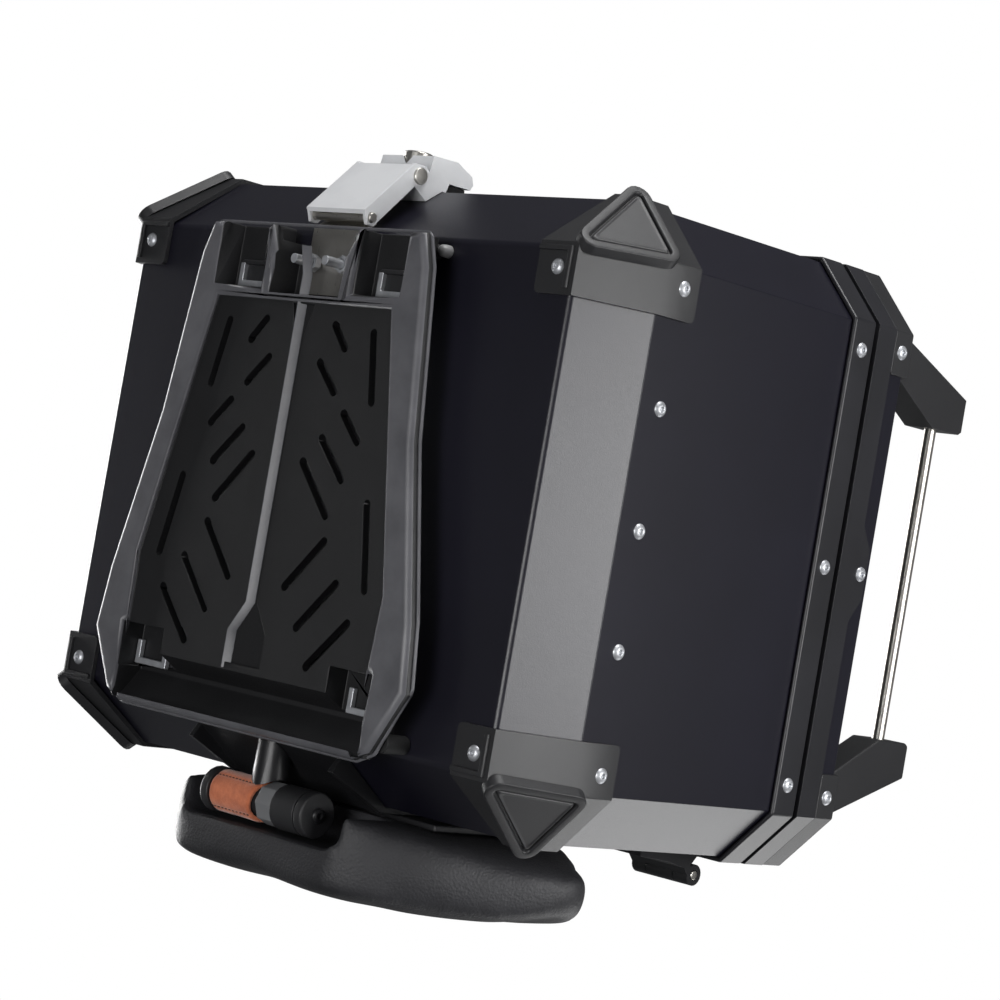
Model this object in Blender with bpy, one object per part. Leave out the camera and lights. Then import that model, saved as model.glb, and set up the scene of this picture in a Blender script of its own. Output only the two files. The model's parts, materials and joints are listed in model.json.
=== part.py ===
"""Aluminium motorcycle top case with its quick-release base plate, backrest and tie-down rails.

The case stands upright: +Z is up (the lid), +Y is forward (the backrest), -Y is the rear
(the base latch) and +X is the right side. Everything is modelled from the middle of the
case's flat bottom, and the empty "resting_frame" then puts the base plate's feet on z = 0
with the middle of the footprint at the origin. Lengths are in metres.
"""

import math

import bmesh
import bpy
from mathutils import Matrix, Vector

# ---- driving dimensions ------------------------------------------------------
GAP = 0.0003  # between pieces that touch

CASE_WIDTH = 0.420
CASE_DEPTH = 0.370
SIDE_CHAMFER = 0.018  # how far the bottom edge of each side is folded in
END_CHAMFER = 0.036  # the same at the front and the rear
CHAMFER_RISE = 0.050  # height of the folded band round the bottom
CORNER_X = 0.032  # the case's upright corners are cut off by this much in X
CORNER_Y = 0.034  # and by this much in Y
SHEET = 0.0015  # aluminium sheet
FLOOR_SHEET = 0.0030
TRAY_FLANGE = 0.030  # the tray's flange stands this far up inside the walls
RIM_Z = 0.228  # lower edge of the body's rim
RIM_HEIGHT = 0.021
RIM_PROUD = 0.0035
RIM_LIP = 0.005  # the rim's inward lip, over the edge of the wall
LID_GAP = 0.0035  # between the two rims, where the seal lies
LID_RIM_HEIGHT = 0.018
LID_HEIGHT = 0.0395  # lid rim's lower edge to the lid's top
LID_EDGE = 0.005  # chamfer round the lid's top
TAB_RISE = 0.010  # the lid rim's raised tab in the middle of each side
TAB_HALF_FOOT = 0.0305
TAB_HALF_TOP = 0.0155

GUARD = 0.0030  # thickness of the moulded corner guards
GUARD_X = 0.045  # how far a lower guard reaches from the case's side
GUARD_Y = 0.064  # and from its end
GUARD_RISE = 0.080
BADGE_RISE = 0.0075
BADGE_GROW = 1.42
BADGE_RIM = 0.0050
BADGE_SINK = 0.0022
CAP_X = 0.050
CAP_Y = 0.060

RAIL_INSET = 0.022  # rail centre line, in from the case's side
RAIL_RISE = 0.084  # bracket top above the lid
RAIL_END_INSET = 0.029  # brackets' outer feet, in from the case's front and rear
BRACKET_WIDTH = 0.022
BAR_DIAMETER = 0.008
BAR_DROP = 0.019  # bar centre below the bracket's top
BAR_SOCKET = 0.008

HINGE_X = 0.120
HINGE_LENGTH = 0.046
HINGE_OUT = 0.018  # pin centre, forward of the case's front
KNUCKLE_RADIUS = 0.0068
HINGE_PIN_RADIUS = 0.0030
LEAF = 0.0035
HINGE_DROP = 0.054  # the body leaf's lower end, below the pin
HINGE_FOOT = 0.008  # its thickness there

PLATE_DROP = 0.027  # the plate's feet below the case's bottom
PLATE_TOP = 0.0085  # the plate's top above its feet
FIELD_SINK = 0.0030  # the slotted field above the feet
PLATE_REAR_HALF = 0.094
PLATE_FRONT_HALF = 0.1415
PLATE_WALL = 0.003
GROOVE_HALF = 0.0045
GROOVE_DEPTH = 0.0028
SLOT_WIDTH = 0.0056
REAR_POCKET_X = 0.0625
FRONT_POCKET_X = 0.098
POCKET_INWARD = 0.022  # from the catch's middle to the pocket's inner wall
POCKET_OUTWARD = {"rear": 0.021, "front": 0.0155}  # and to its outer wall
POCKET_CEILING = 0.0088  # floor of the pockets, below the case's bottom
POCKET_SKIN = 0.0026
VALLEY_CEILING = 0.0062  # floor of the valley across the plate's front
VALLEY_HALF = 0.113
CATCH_WIDTH = 0.030
CATCH_LENGTH = 0.015
CATCH_WALL = 0.0040
CATCH_HEIGHT = 0.0035
REAR_STAND_RADIUS = 0.0050
FRONT_STAND_RADIUS = 0.0055

STRIKE_HALF = 0.0215
STRIKE_SHEET = 0.0022
STRIKE_BOLT_X = 0.0138
BOLT_RADIUS = 0.0030
NUT_RADIUS = 0.0056
NUT_HEIGHT = 0.0050
BOLT_HEAD = 0.0018
SHELF_DROP = 0.0052  # shelf that carries the strike, below the case's bottom

LEVER_HALF = 0.026
LEVER_SHEET = 0.0025
LATCH_PIN_RADIUS = 0.0040
HOOK_PIN_RADIUS = 0.0030
LATCH_LOCK_RADIUS = 0.0090

BRACE_HALF = 0.066  # front bracket's half width
BRACE_SHEET = 0.0040
BRACE_LIP = 0.010
BRACE_TOP = 0.150
GRIP_HALF = 0.0465
GRIP_Y = 0.196
GRIP_Z = 0.0145
GRIP_CORE_RADIUS = 0.0098
GRIP_RADIUS = 0.0140
WRAP_RADIUS = 0.0134
COLLAR_START = 0.004  # the collar's ends, from the grip's middle
COLLAR_END = 0.018
NECK_RADIUS = 0.011

PAD_THICK = 0.0530
PAD_BOTTOM = 0.004
PAD_TOP = 0.186
PAD_HALF = 0.160
PAD_FOOT_HALF = 0.075
NOTCH_HALF = 0.070
NOTCH_TOP = 0.052
NOTCH_DEPTH = 0.023
BOARD_HALF = 0.095
BOARD_SHEET = 0.004

LID_LOCK_HALF = 0.012
LID_LOCK_RADIUS = 0.0070
CAM_LENGTH = 0.028
CAM_WIDTH = 0.009
CAM_SHEET = 0.003

# ---- places worked out from them ---------------------------------------------
HALF_W = CASE_WIDTH / 2
HALF_D = CASE_DEPTH / 2
FLAT_HALF_D = HALF_D - END_CHAMFER  # half length of the flat bottom
RAIL_REACH = HALF_D - RAIL_END_INSET  # half the distance between the brackets' outer feet
RIM_TOP = RIM_Z + RIM_HEIGHT
LID_Z = RIM_TOP + LID_GAP
LID_RIM_TOP = LID_Z + LID_RIM_HEIGHT
LID_TOP = LID_Z + LID_HEIGHT
HINGE_Y = HALF_D + HINGE_OUT
HINGE_Z = RIM_TOP + LID_GAP / 2
PAD_BACK = HALF_D + BRACE_SHEET + 2 * GAP
PAD_FRONT = PAD_BACK + PAD_THICK
FIELD_Z = FIELD_SINK - PLATE_DROP
PLATE_TOP_Z = PLATE_TOP - PLATE_DROP
GRIP_CENTRE_Y = HALF_D + (GRIP_Y - 0.185)
LATCH_PIVOT = (-HALF_D - 0.0050, 0.0266)
HOOK_PIN = (-FLAT_HALF_D - 0.0088, -0.0060)
LOCK_OUT = HALF_D + 0.0235  # tip of the latch's lock cylinder
LOCK_Z = 0.047
LID_LOCK_Z = LID_Z + 0.0105


# ---- helpers -----------------------------------------------------------------
def material(name, colour, roughness, metallic=0.0):
    finish = bpy.data.materials.new(name)
    finish.use_nodes = True
    shader = finish.node_tree.nodes["Principled BSDF"]
    shader.inputs["Base Color"].default_value = (*colour, 1.0)
    shader.inputs["Roughness"].default_value = roughness
    shader.inputs["Metallic"].default_value = metallic
    return finish


def solid(name, mesh, finish, parent=None):
    """An object with this bmesh, its faces turned outwards, hung on the parent empty."""
    bmesh.ops.recalc_face_normals(mesh, faces=mesh.faces)
    data = bpy.data.meshes.new(name)
    mesh.to_mesh(data)
    mesh.free()
    data.shade_smooth()
    data.set_sharp_from_angle(angle=math.radians(32))
    data.materials.append(finish)
    made = bpy.data.objects.new(name, data)
    bpy.context.scene.collection.objects.link(made)
    hang(made, parent or RESTING_FRAME)
    return made


def hang(child, parent):
    """Parents the child and moves it back by the parent's place, so its mesh stays in case coordinates."""
    child.parent = parent
    child.location = -AXES.get(parent, Vector())
    return child


def empty(name, place):
    axis = bpy.data.objects.new(name, None)
    bpy.context.scene.collection.objects.link(axis)
    axis.empty_display_size = 0.03
    axis.parent = RESTING_FRAME
    axis.location = place
    AXES[axis] = Vector(place)
    return axis


def cutter(mesh):
    helper = solid("cutter", mesh, CUT)
    helper.hide_render = True
    helper.display_type = "WIRE"
    return helper


def combine(target, operation, mesh):
    change = target.modifiers.new(operation.lower(), "BOOLEAN")
    change.operation = operation
    change.object = cutter(mesh)


def cut(target, *meshes):
    for mesh in meshes:
        combine(target, "DIFFERENCE", mesh)
    return target


def add(target, *meshes):
    for mesh in meshes:
        combine(target, "UNION", mesh)
    return target


def keep(target, mesh):
    combine(target, "INTERSECT", mesh)
    return target


def prism(outline, low, high, axis="Z"):
    """A closed outline drawn across the axis, and extruded along it from low to high."""
    frame = {
        "X": lambda a, b: (low, a, b),
        "Y": lambda a, b: (a, low, b),
        "Z": lambda a, b: (a, b, low),
    }[axis]
    mesh = bmesh.new()
    face = mesh.faces.new([mesh.verts.new(frame(a, b)) for a, b in outline])
    made = bmesh.ops.extrude_face_region(mesh, geom=[face])["geom"]
    along = Vector([(high - low) * (axis == letter) for letter in "XYZ"])
    bmesh.ops.translate(mesh, vec=along, verts=[v for v in made if isinstance(v, bmesh.types.BMVert)])
    return mesh


def box(low, high):
    outline = [(low[0], low[1]), (high[0], low[1]), (high[0], high[1]), (low[0], high[1])]
    return prism(outline, low[2], high[2])


def rod(centre, radius, length, axis, sides=20):
    """A cylinder from its centre, along X, Y or Z."""
    turn = {
        "X": Matrix.Rotation(math.pi / 2, 4, "Y"),
        "Y": Matrix.Rotation(math.pi / 2, 4, "X"),
        "Z": Matrix.Identity(4),
    }[axis]
    mesh = bmesh.new()
    bmesh.ops.create_cone(
        mesh, cap_ends=True, segments=sides, radius1=radius, radius2=radius,
        depth=length, matrix=Matrix.Translation(centre) @ turn,
    )  # fmt: skip
    return mesh


def tube(low_x, high_x, y, z, inner, outer, sides=20):
    """A ring along X, turned round (y, z)."""
    mesh = bmesh.new()
    loops = []
    for x, radius in ((low_x, inner), (high_x, inner), (high_x, outer), (low_x, outer)):
        turn = [2 * math.pi * i / sides for i in range(sides)]
        loops.append([mesh.verts.new((x, y + radius * math.cos(a), z + radius * math.sin(a))) for a in turn])
    bridge(mesh, loops, closed=True)
    return mesh


def hull(points):
    mesh = bmesh.new()
    verts = [mesh.verts.new(point) for point in points]
    made = bmesh.ops.convex_hull(mesh, input=verts)
    bmesh.ops.delete(mesh, geom=list({*made["geom_interior"], *made["geom_unused"]}), context="VERTS")
    bmesh.ops.dissolve_limit(mesh, angle_limit=math.radians(0.5), verts=mesh.verts, edges=mesh.edges)
    return mesh


def octagon(half_x, half_y, cut_x, cut_y, z):
    """A rectangle with its corners cut off, anticlockwise from +X."""
    quarter = [(half_x, half_y - cut_y), (half_x - cut_x, half_y)]
    ring = quarter + [(-x, y) for x, y in reversed(quarter)]
    ring += [(-x, -y) for x, y in ring]
    return [(x, y, z) for x, y in ring]


def wall_ring(grow, z):
    """The case's outline, moved outwards by grow."""
    across, along = CORNER_Y, CORNER_X
    length = math.hypot(across, along)
    cut_y = CORNER_Y + grow * (1 - (1 - across / length) / (along / length))
    cut_x = CORNER_X + grow * (1 - (1 - along / length) / (across / length))
    return octagon(HALF_W + grow, HALF_D + grow, cut_x, cut_y, z)


def floor_ring(grow, z):
    """The outline of the flat bottom, inside the folded bands."""
    return octagon(HALF_W - SIDE_CHAMFER + grow, FLAT_HALF_D + grow, 0.0015, 0.0015, z)


def bridge(mesh, loops, closed):
    """Joins each loop of verts to the next, and the last to the first or both ends with a cap."""
    pairs = list(zip(loops, loops[1:]))
    if closed:
        pairs.append((loops[-1], loops[0]))
    else:
        mesh.faces.new(loops[0])
        mesh.faces.new(loops[-1])
    for first, second in pairs:
        for i, vert in enumerate(first):
            mesh.faces.new((vert, first[i - 1], second[i - 1], second[i]))


def stack(rings, closed=False):
    """A solid skinned over outlines one after another."""
    mesh = bmesh.new()
    bridge(mesh, [[mesh.verts.new(point) for point in ring] for ring in rings], closed)
    return mesh


def band(profile):
    """A closed profile of (grow, z) carried round the case's outline."""
    return stack([wall_ring(grow, z) for grow, z in profile], closed=True)


def case_hull(grow, top):
    """The whole outside of the body, moved outwards, up to a height."""
    base = floor_ring(grow * 0.6, -grow)
    return hull(base + wall_ring(grow, CHAMFER_RISE - grow * 0.25) + wall_ring(grow, top))


def lid_hull(grow):
    rings = wall_ring(grow, LID_Z) + wall_ring(grow, LID_TOP - LID_EDGE + grow * 0.4)
    return hull(rings + wall_ring(grow * 0.4 - LID_EDGE, LID_TOP + grow))


def signs():
    return [("rear_left", -1, -1), ("rear_right", 1, -1), ("front_left", -1, 1), ("front_right", 1, 1)]


def sides():
    return [("left", -1), ("right", 1)]


def span(a, b):
    """The same two numbers, lower first."""
    return (a, b) if a < b else (b, a)


def rounded(corners, radius, steps=3):
    """An outline with each corner replaced by an arc of this radius."""
    made = []
    count = len(corners)
    for i, corner in enumerate(corners):
        here = Vector(corner)
        before = (Vector(corners[i - 1]) - here).normalized()
        after = (Vector(corners[(i + 1) % count]) - here).normalized()
        half = before.angle(after) / 2
        reach = radius / math.tan(half)
        centre = here + (before + after).normalized() * radius / math.sin(half)
        start = here + before * reach - centre
        turn = start.to_2d().angle_signed((here + after * reach - centre).to_2d())
        for step in range(steps + 1):
            point = start.to_2d()
            point.rotate(Matrix.Rotation(-turn * step / steps, 2))
            made.append(tuple(centre.to_2d() + point))
    return made


# ---- the case ----------------------------------------------------------------
def build_case():
    flange_out = -(SHEET + GAP)
    flange_in = flange_out - 0.0017
    flange_top = CHAMFER_RISE + TRAY_FLANGE
    tray = stack([
        floor_ring(flange_in, FLOOR_SHEET),
        wall_ring(flange_in, CHAMFER_RISE),
        wall_ring(flange_in, flange_top),
        wall_ring(flange_out, flange_top),
        wall_ring(flange_out, CHAMFER_RISE - GAP),
        wall_ring(0, CHAMFER_RISE - GAP),
        floor_ring(0, 0),
    ])  # fmt: skip
    solid("bottom_tray", tray, NAVY)
    wall_top = RIM_Z + 0.008
    walls = [(0, CHAMFER_RISE), (0, wall_top), (-SHEET, wall_top), (-SHEET, CHAMFER_RISE)]
    solid("wall_shell", band(walls), NAVY)
    rim = [
        (RIM_PROUD, RIM_Z), (RIM_PROUD, RIM_TOP), (-RIM_LIP, RIM_TOP),
        (-RIM_LIP, wall_top + GAP), (GAP, wall_top + GAP), (GAP, RIM_Z),
    ]  # fmt: skip
    solid("body_rim", band(rim), BLACK)
    seal_low, seal_high = RIM_TOP + GAP, LID_Z - GAP
    seal = [(-0.0005, seal_low), (-0.0005, seal_high), (-0.0042, seal_high), (-0.0042, seal_low)]
    solid("lid_seal", band(seal), RUBBER)


def corner_guard(name, x, y):
    """Lower corner guard: the case's skin moved out, kept only near the corner, with its badge."""
    guard = solid(f"guard_{name}", case_hull(GUARD + GAP, GUARD_RISE + 0.010), BLACK)
    across = span(x * (HALF_W - GUARD_X), x * (HALF_W + 0.02))
    along = span(y * (HALF_D - GUARD_Y), y * (HALF_D + 0.02))
    keep(guard, box((across[0], along[0], -0.02), (across[1], along[1], GUARD_RISE)))
    cut(guard, case_hull(GAP, GUARD_RISE + 0.020))
    add(guard, badge(x, y))


def badge(x, y):
    """A rounded triangle over the corner's slanting facet, with a sunk field."""
    low = Vector((x * (HALF_W - SIDE_CHAMFER), y * FLAT_HALF_D, 0))
    side = Vector((x * HALF_W, y * (HALF_D - CORNER_Y), CHAMFER_RISE))
    end = Vector((x * (HALF_W - CORNER_X), y * HALF_D, CHAMFER_RISE))
    out = (side - low).cross(end - low).normalized()
    out *= -1 if out.dot(Vector((x, y, 0))) < 0 else 1
    middle = (low + side + end) / 3
    across = (side - end).normalized()
    up = out.cross(across)
    flat = [(p - middle) * BADGE_GROW for p in (low, side, end)]
    outline = rounded([(p.dot(across), p.dot(up)) for p in flat], 0.008)
    mesh = bmesh.new()
    floor = GUARD * 0.5 + GAP
    verts = [mesh.verts.new(middle + across * a + up * b + out * floor) for a, b in outline]
    face = mesh.faces.new(verts)
    made = bmesh.ops.extrude_face_region(mesh, geom=[face])["geom"]
    top = [v for v in made if isinstance(v, bmesh.types.BMVert)]
    bmesh.ops.translate(mesh, vec=out * (BADGE_RISE - floor), verts=top)
    lid = [f for f in made if isinstance(f, bmesh.types.BMFace)]
    bmesh.ops.inset_region(mesh, faces=lid, thickness=BADGE_RIM)
    sunk = {v for f in lid for v in f.verts}
    bmesh.ops.translate(mesh, vec=-out * BADGE_SINK, verts=list(sunk))
    return mesh


# ---- the lid -----------------------------------------------------------------
def build_lid():
    shell_z = LID_Z + 0.006
    edge_z = LID_TOP - LID_EDGE
    shell = stack([
        wall_ring(-SHEET - LID_EDGE, LID_TOP - SHEET),
        wall_ring(-SHEET, edge_z - SHEET / 2),
        wall_ring(-SHEET, shell_z),
        wall_ring(0, shell_z),
        wall_ring(0, edge_z),
        wall_ring(-LID_EDGE, LID_TOP),
    ])  # fmt: skip
    solid("lid_shell", shell, NAVY, LID_AXIS)
    rim = [
        (RIM_PROUD, LID_Z), (RIM_PROUD, LID_RIM_TOP), (GAP, LID_RIM_TOP),
        (GAP, shell_z - GAP), (-RIM_LIP, shell_z - GAP), (-RIM_LIP, LID_Z),
    ]  # fmt: skip
    lid_rim = solid("lid_rim", band(rim), BLACK, LID_AXIS)
    outline = [
        (-TAB_HALF_FOOT, LID_RIM_TOP - 0.004), (TAB_HALF_FOOT, LID_RIM_TOP - 0.004),
        (TAB_HALF_FOOT, LID_RIM_TOP), (TAB_HALF_TOP, LID_RIM_TOP + TAB_RISE),
        (-TAB_HALF_TOP, LID_RIM_TOP + TAB_RISE), (-TAB_HALF_FOOT, LID_RIM_TOP),
    ]  # fmt: skip
    for _, x in sides():
        low, high = span(x * (HALF_W + 2 * GAP), x * (HALF_W + RIM_PROUD - GAP))
        add(lid_rim, prism(outline, low, high, "X"))
    for name, x, y in signs():
        lid_cap(name, x, y)
        rail_bracket(name, x, y)
    for name, x in sides():
        centre = (x * (HALF_W - RAIL_INSET), 0, LID_TOP + RAIL_RISE - BAR_DROP)
        length = 2 * (bracket_inner() + BAR_SOCKET)
        solid(f"rail_bar_{name}", rod(centre, BAR_DIAMETER / 2, length, "Y", 16), STEEL, LID_AXIS)


def lid_cap(name, x, y):
    """Upper corner cap, over the lid's corner above its rim."""
    cap = solid(f"lid_cap_{name}", lid_hull(GUARD + GAP), BLACK, LID_AXIS)
    across = span(x * (HALF_W - CAP_X), x * (HALF_W + 0.02))
    along = span(y * (HALF_D - CAP_Y), y * (HALF_D + 0.02))
    keep(cap, box((across[0], along[0], LID_RIM_TOP + GAP), (across[1], along[1], LID_TOP + 0.01)))
    cut(cap, lid_hull(GAP))


def bracket_inner():
    """Half the clear distance between the rail brackets' inner faces."""
    return RAIL_REACH - 0.055


def rail_bracket(name, x, y):
    """A slanting arm from the lid's end that carries the bar's end."""
    foot, top = LID_TOP + GAP, LID_TOP + RAIL_RISE
    inner = bracket_inner()
    outline = [
        (RAIL_REACH, foot), (RAIL_REACH - 0.032, top), (inner + 0.002, top), (inner, top - 0.003),
        (inner, top - 0.032), (inner + 0.012, top - 0.054), (RAIL_REACH - 0.026, foot),
    ]  # fmt: skip
    centre = x * (HALF_W - RAIL_INSET)
    low, high = centre - BRACKET_WIDTH / 2, centre + BRACKET_WIDTH / 2
    arm = prism([(y * a, z) for a, z in outline], low, high, "X")
    bracket = solid(f"rail_bracket_{name}", arm, BLACK, LID_AXIS)
    socket = inner + BAR_SOCKET + GAP
    hole = rod((centre, y * (socket - 0.010), top - BAR_DROP), BAR_DIAMETER / 2 + GAP, 0.020, "Y", 16)
    cut(bracket, hole)
    # the cap's upper face runs under the foot
    clear = span(x * (HALF_W - CAP_X - GAP), x * (HALF_W + 0.02))
    deep = span(y * (HALF_D - CAP_Y - GAP), y * (HALF_D + 0.02))
    cut(bracket, box((clear[0], deep[0], LID_TOP - 0.01), (clear[1], deep[1], LID_TOP + GUARD + 2.5 * GAP)))


def build_hinges():
    front = HALF_D + GAP
    over = HALF_D + RIM_PROUD + GAP
    reach = HINGE_Y + KNUCKLE_RADIUS * 0.6
    body = [
        (front, HINGE_Z - HINGE_DROP), (front, RIM_Z - GAP), (over, RIM_Z - GAP), (over, HINGE_Z - 0.006),
        (HINGE_Y - 0.004, HINGE_Z - 0.004), (reach, HINGE_Z - 0.004), (HINGE_Y, HINGE_Z - KNUCKLE_RADIUS),
        (over + HINGE_FOOT + 0.002, RIM_Z + 0.012), (front + HINGE_FOOT + 0.002, RIM_Z - 0.006),
        (front + HINGE_FOOT, HINGE_Z - HINGE_DROP),
    ]  # fmt: skip
    lid = [
        (over, LID_Z + 0.0006), (HINGE_Y - 0.004, HINGE_Z + 0.0005), (HINGE_Y, HINGE_Z + KNUCKLE_RADIUS),
        (over + LEAF + 0.001, LID_RIM_TOP - 0.005), (over + LEAF, LID_RIM_TOP - GAP),
        (over, LID_RIM_TOP - GAP),
    ]  # fmt: skip
    half = HINGE_LENGTH / 2
    middle = HINGE_LENGTH * 0.24
    for name, x in sides():
        centre = x * HINGE_X
        leaf = solid(f"hinge_body_{name}", prism(body, centre - half, centre + half, "X"), BLACK)
        clear = KNUCKLE_RADIUS + 3 * GAP
        cut(leaf, rod((centre, HINGE_Y, HINGE_Z), clear, 2 * (middle + GAP), "X"))
        for end in (-1, 1):
            low, high = span(centre + end * (middle + GAP), centre + end * half)
            add(leaf, rod(((low + high) / 2, HINGE_Y, HINGE_Z), KNUCKLE_RADIUS, high - low, "X"))
        hole = HINGE_PIN_RADIUS + GAP
        cut(leaf, rod((centre, HINGE_Y, HINGE_Z), hole, HINGE_LENGTH + 0.01, "X", 16))
        upper = solid(
            f"hinge_lid_{name}", prism(lid, centre - middle, centre + middle, "X"), BLACK, LID_AXIS
        )
        add(upper, rod((centre, HINGE_Y, HINGE_Z), KNUCKLE_RADIUS, 2 * middle - GAP, "X"))
        cut(upper, rod((centre, HINGE_Y, HINGE_Z), hole, HINGE_LENGTH, "X", 16))
        pin = rod((centre, HINGE_Y, HINGE_Z), HINGE_PIN_RADIUS, HINGE_LENGTH + 0.001, "X", 16)
        solid(f"hinge_pin_{name}", pin, STEEL)


def build_lid_lock():
    """Turning cam lock on the lid's rear, and the keeper that it turns under."""
    face = -HALF_D - RIM_PROUD - GAP
    outer = face - 0.0095
    low, high = LID_Z + 0.001, LID_RIM_TOP + 0.004
    housing = solid(
        "lid_lock_housing",
        box((-LID_LOCK_HALF, outer, low), (LID_LOCK_HALF, face, high)), SILVER, LID_AXIS,
    )  # fmt: skip
    cut(housing, rod((0, outer, LID_LOCK_Z), LID_LOCK_RADIUS + GAP, 0.012, "Y", 16))
    tip = outer - CAM_SHEET - 0.0045
    barrel_in = outer + 0.006 - GAP
    barrel = rod((0, (tip + barrel_in) / 2, LID_LOCK_Z), LID_LOCK_RADIUS, barrel_in - tip, "Y", 16)
    lock = solid("lid_lock_cylinder", barrel, STEEL, LID_LOCK_AXIS)
    cut(lock, box((-0.0008, tip - 0.001, LID_LOCK_Z - 0.004), (0.0008, tip + 0.002, LID_LOCK_Z + 0.004)))
    cam_y = (outer - GAP - CAM_SHEET, outer - GAP)
    ring = 0.0105
    bar = box((-CAM_WIDTH / 2, cam_y[0], LID_LOCK_Z - CAM_LENGTH), (CAM_WIDTH / 2, cam_y[1], LID_LOCK_Z))
    cam = solid("lid_lock_cam", bar, STEEL, LID_LOCK_AXIS)
    add(cam, rod((0, sum(cam_y) / 2, LID_LOCK_Z), ring, CAM_SHEET, "Y", 16))
    cut(cam, rod((0, sum(cam_y) / 2, LID_LOCK_Z), LID_LOCK_RADIUS + GAP, 0.01, "Y", 16))
    post = (CAM_LENGTH + 0.003, CAM_LENGTH + 0.009)
    ledge = LID_LOCK_Z + CAM_WIDTH / 2 + 0.0008
    keeper = [
        (post[0], RIM_Z + 0.002), (post[1], RIM_Z + 0.002), (post[1], ledge + 0.005),
        (LID_LOCK_HALF + 0.004, ledge + 0.005), (LID_LOCK_HALF + 0.004, ledge), (post[0], ledge),
    ]  # fmt: skip
    solid("lid_lock_keeper", prism(keeper, cam_y[0] - 0.001, face, "Y"), SILVER)


# ---- the base plate ----------------------------------------------------------
def plate_outline(inset=0.0):
    """The plate seen from below: narrow at the latch, wide in front, its corners cut."""
    rear, front = -FLAT_HALF_D + 0.001 + inset, FLAT_HALF_D + 0.0055 - inset
    narrow, wide = PLATE_REAR_HALF - inset, PLATE_FRONT_HALF - inset
    length = front - rear
    half = [
        (narrow, rear), (narrow + 0.007, rear + 0.020), (wide - 0.028, rear + 0.40 * length),
        (wide - 0.005, rear + 0.73 * length), (wide, rear + 0.86 * length),
        (wide - 0.021, front - 0.006), (wide - 0.034, front),
    ]  # fmt: skip
    return half + [(-x, y) for x, y in reversed(half)]


def slots():
    """Each slot of the right half: its two ends. The left half mirrors them."""
    return [
        ((0.064, -0.090), (0.073, -0.045)), ((0.029, -0.092), (0.044, -0.075)),
        ((0.021, -0.069), (0.041, -0.049)), ((0.049, -0.041), (0.068, -0.022)),
        ((0.034, -0.025), (0.060, 0.001)), ((0.021, -0.010), (0.052, 0.023)),
        ((0.083, 0.008), (0.094, 0.062)), ((0.055, 0.034), (0.024, 0.068)),
        ((0.071, 0.057), (0.040, 0.090)), ((0.086, 0.078), (0.054, 0.111)),
    ]  # fmt: skip


def slot_outline(start, end):
    a, b = Vector(start), Vector(end)
    along = (b - a).normalized()
    side = Vector((-along.y, along.x)) * SLOT_WIDTH / 2
    corners = [a + side, a - side, b - side, b + side]
    return rounded([tuple(corner) for corner in corners], SLOT_WIDTH * 0.45, 2)


def front_valley(wall=0.0):
    """Side view of the valley across the plate's front, its skin moved towards the case by wall."""
    edge, deep = FLAT_HALF_D - 0.028, -VALLEY_CEILING + wall
    below = -PLATE_DROP - 0.01 if wall == 0 else FIELD_Z
    return [
        (edge - 1.6 * wall, below), (edge - 1.6 * wall, FIELD_Z), (edge + 0.010 - wall, deep),
        (edge + 0.013 + wall, deep), (edge + 0.0315, PLATE_TOP_Z - 0.0025 + wall), (edge + 0.0315, below),
    ]  # fmt: skip


def pocket_places():
    """Middle of each catch: name, x, y."""
    rear, front = -FLAT_HALF_D + 0.0315, FLAT_HALF_D - 0.026
    return [
        ("rear_left", -REAR_POCKET_X, rear), ("rear_right", REAR_POCKET_X, rear),
        ("front_left", -FRONT_POCKET_X, front), ("front_right", FRONT_POCKET_X, front),
    ]  # fmt: skip


def pocket_box(x, y, wall=0.0):
    """Corners of a pocket's hollow, or with a wall of the boss round it. The rear ones open backwards."""
    outward = POCKET_OUTWARD["rear" if y < 0 else "front"] + wall
    inner = x - math.copysign(POCKET_INWARD + wall, x)
    across = span(inner, x + math.copysign(outward, x))
    low_y = -FLAT_HALF_D - 0.01 if y < 0 else y - 0.0175
    high_y = y + 0.0085 + wall if y < 0 else y + 0.0095 + wall
    if wall:
        low_y = -FLAT_HALF_D + 0.001 if y < 0 else low_y - wall
    ceiling = -POCKET_CEILING + (POCKET_SKIN if wall else 0)
    low_z = FIELD_Z if wall else -PLATE_DROP - 0.01
    return (across[0], low_y, low_z), (across[1], high_y, ceiling)


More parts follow.
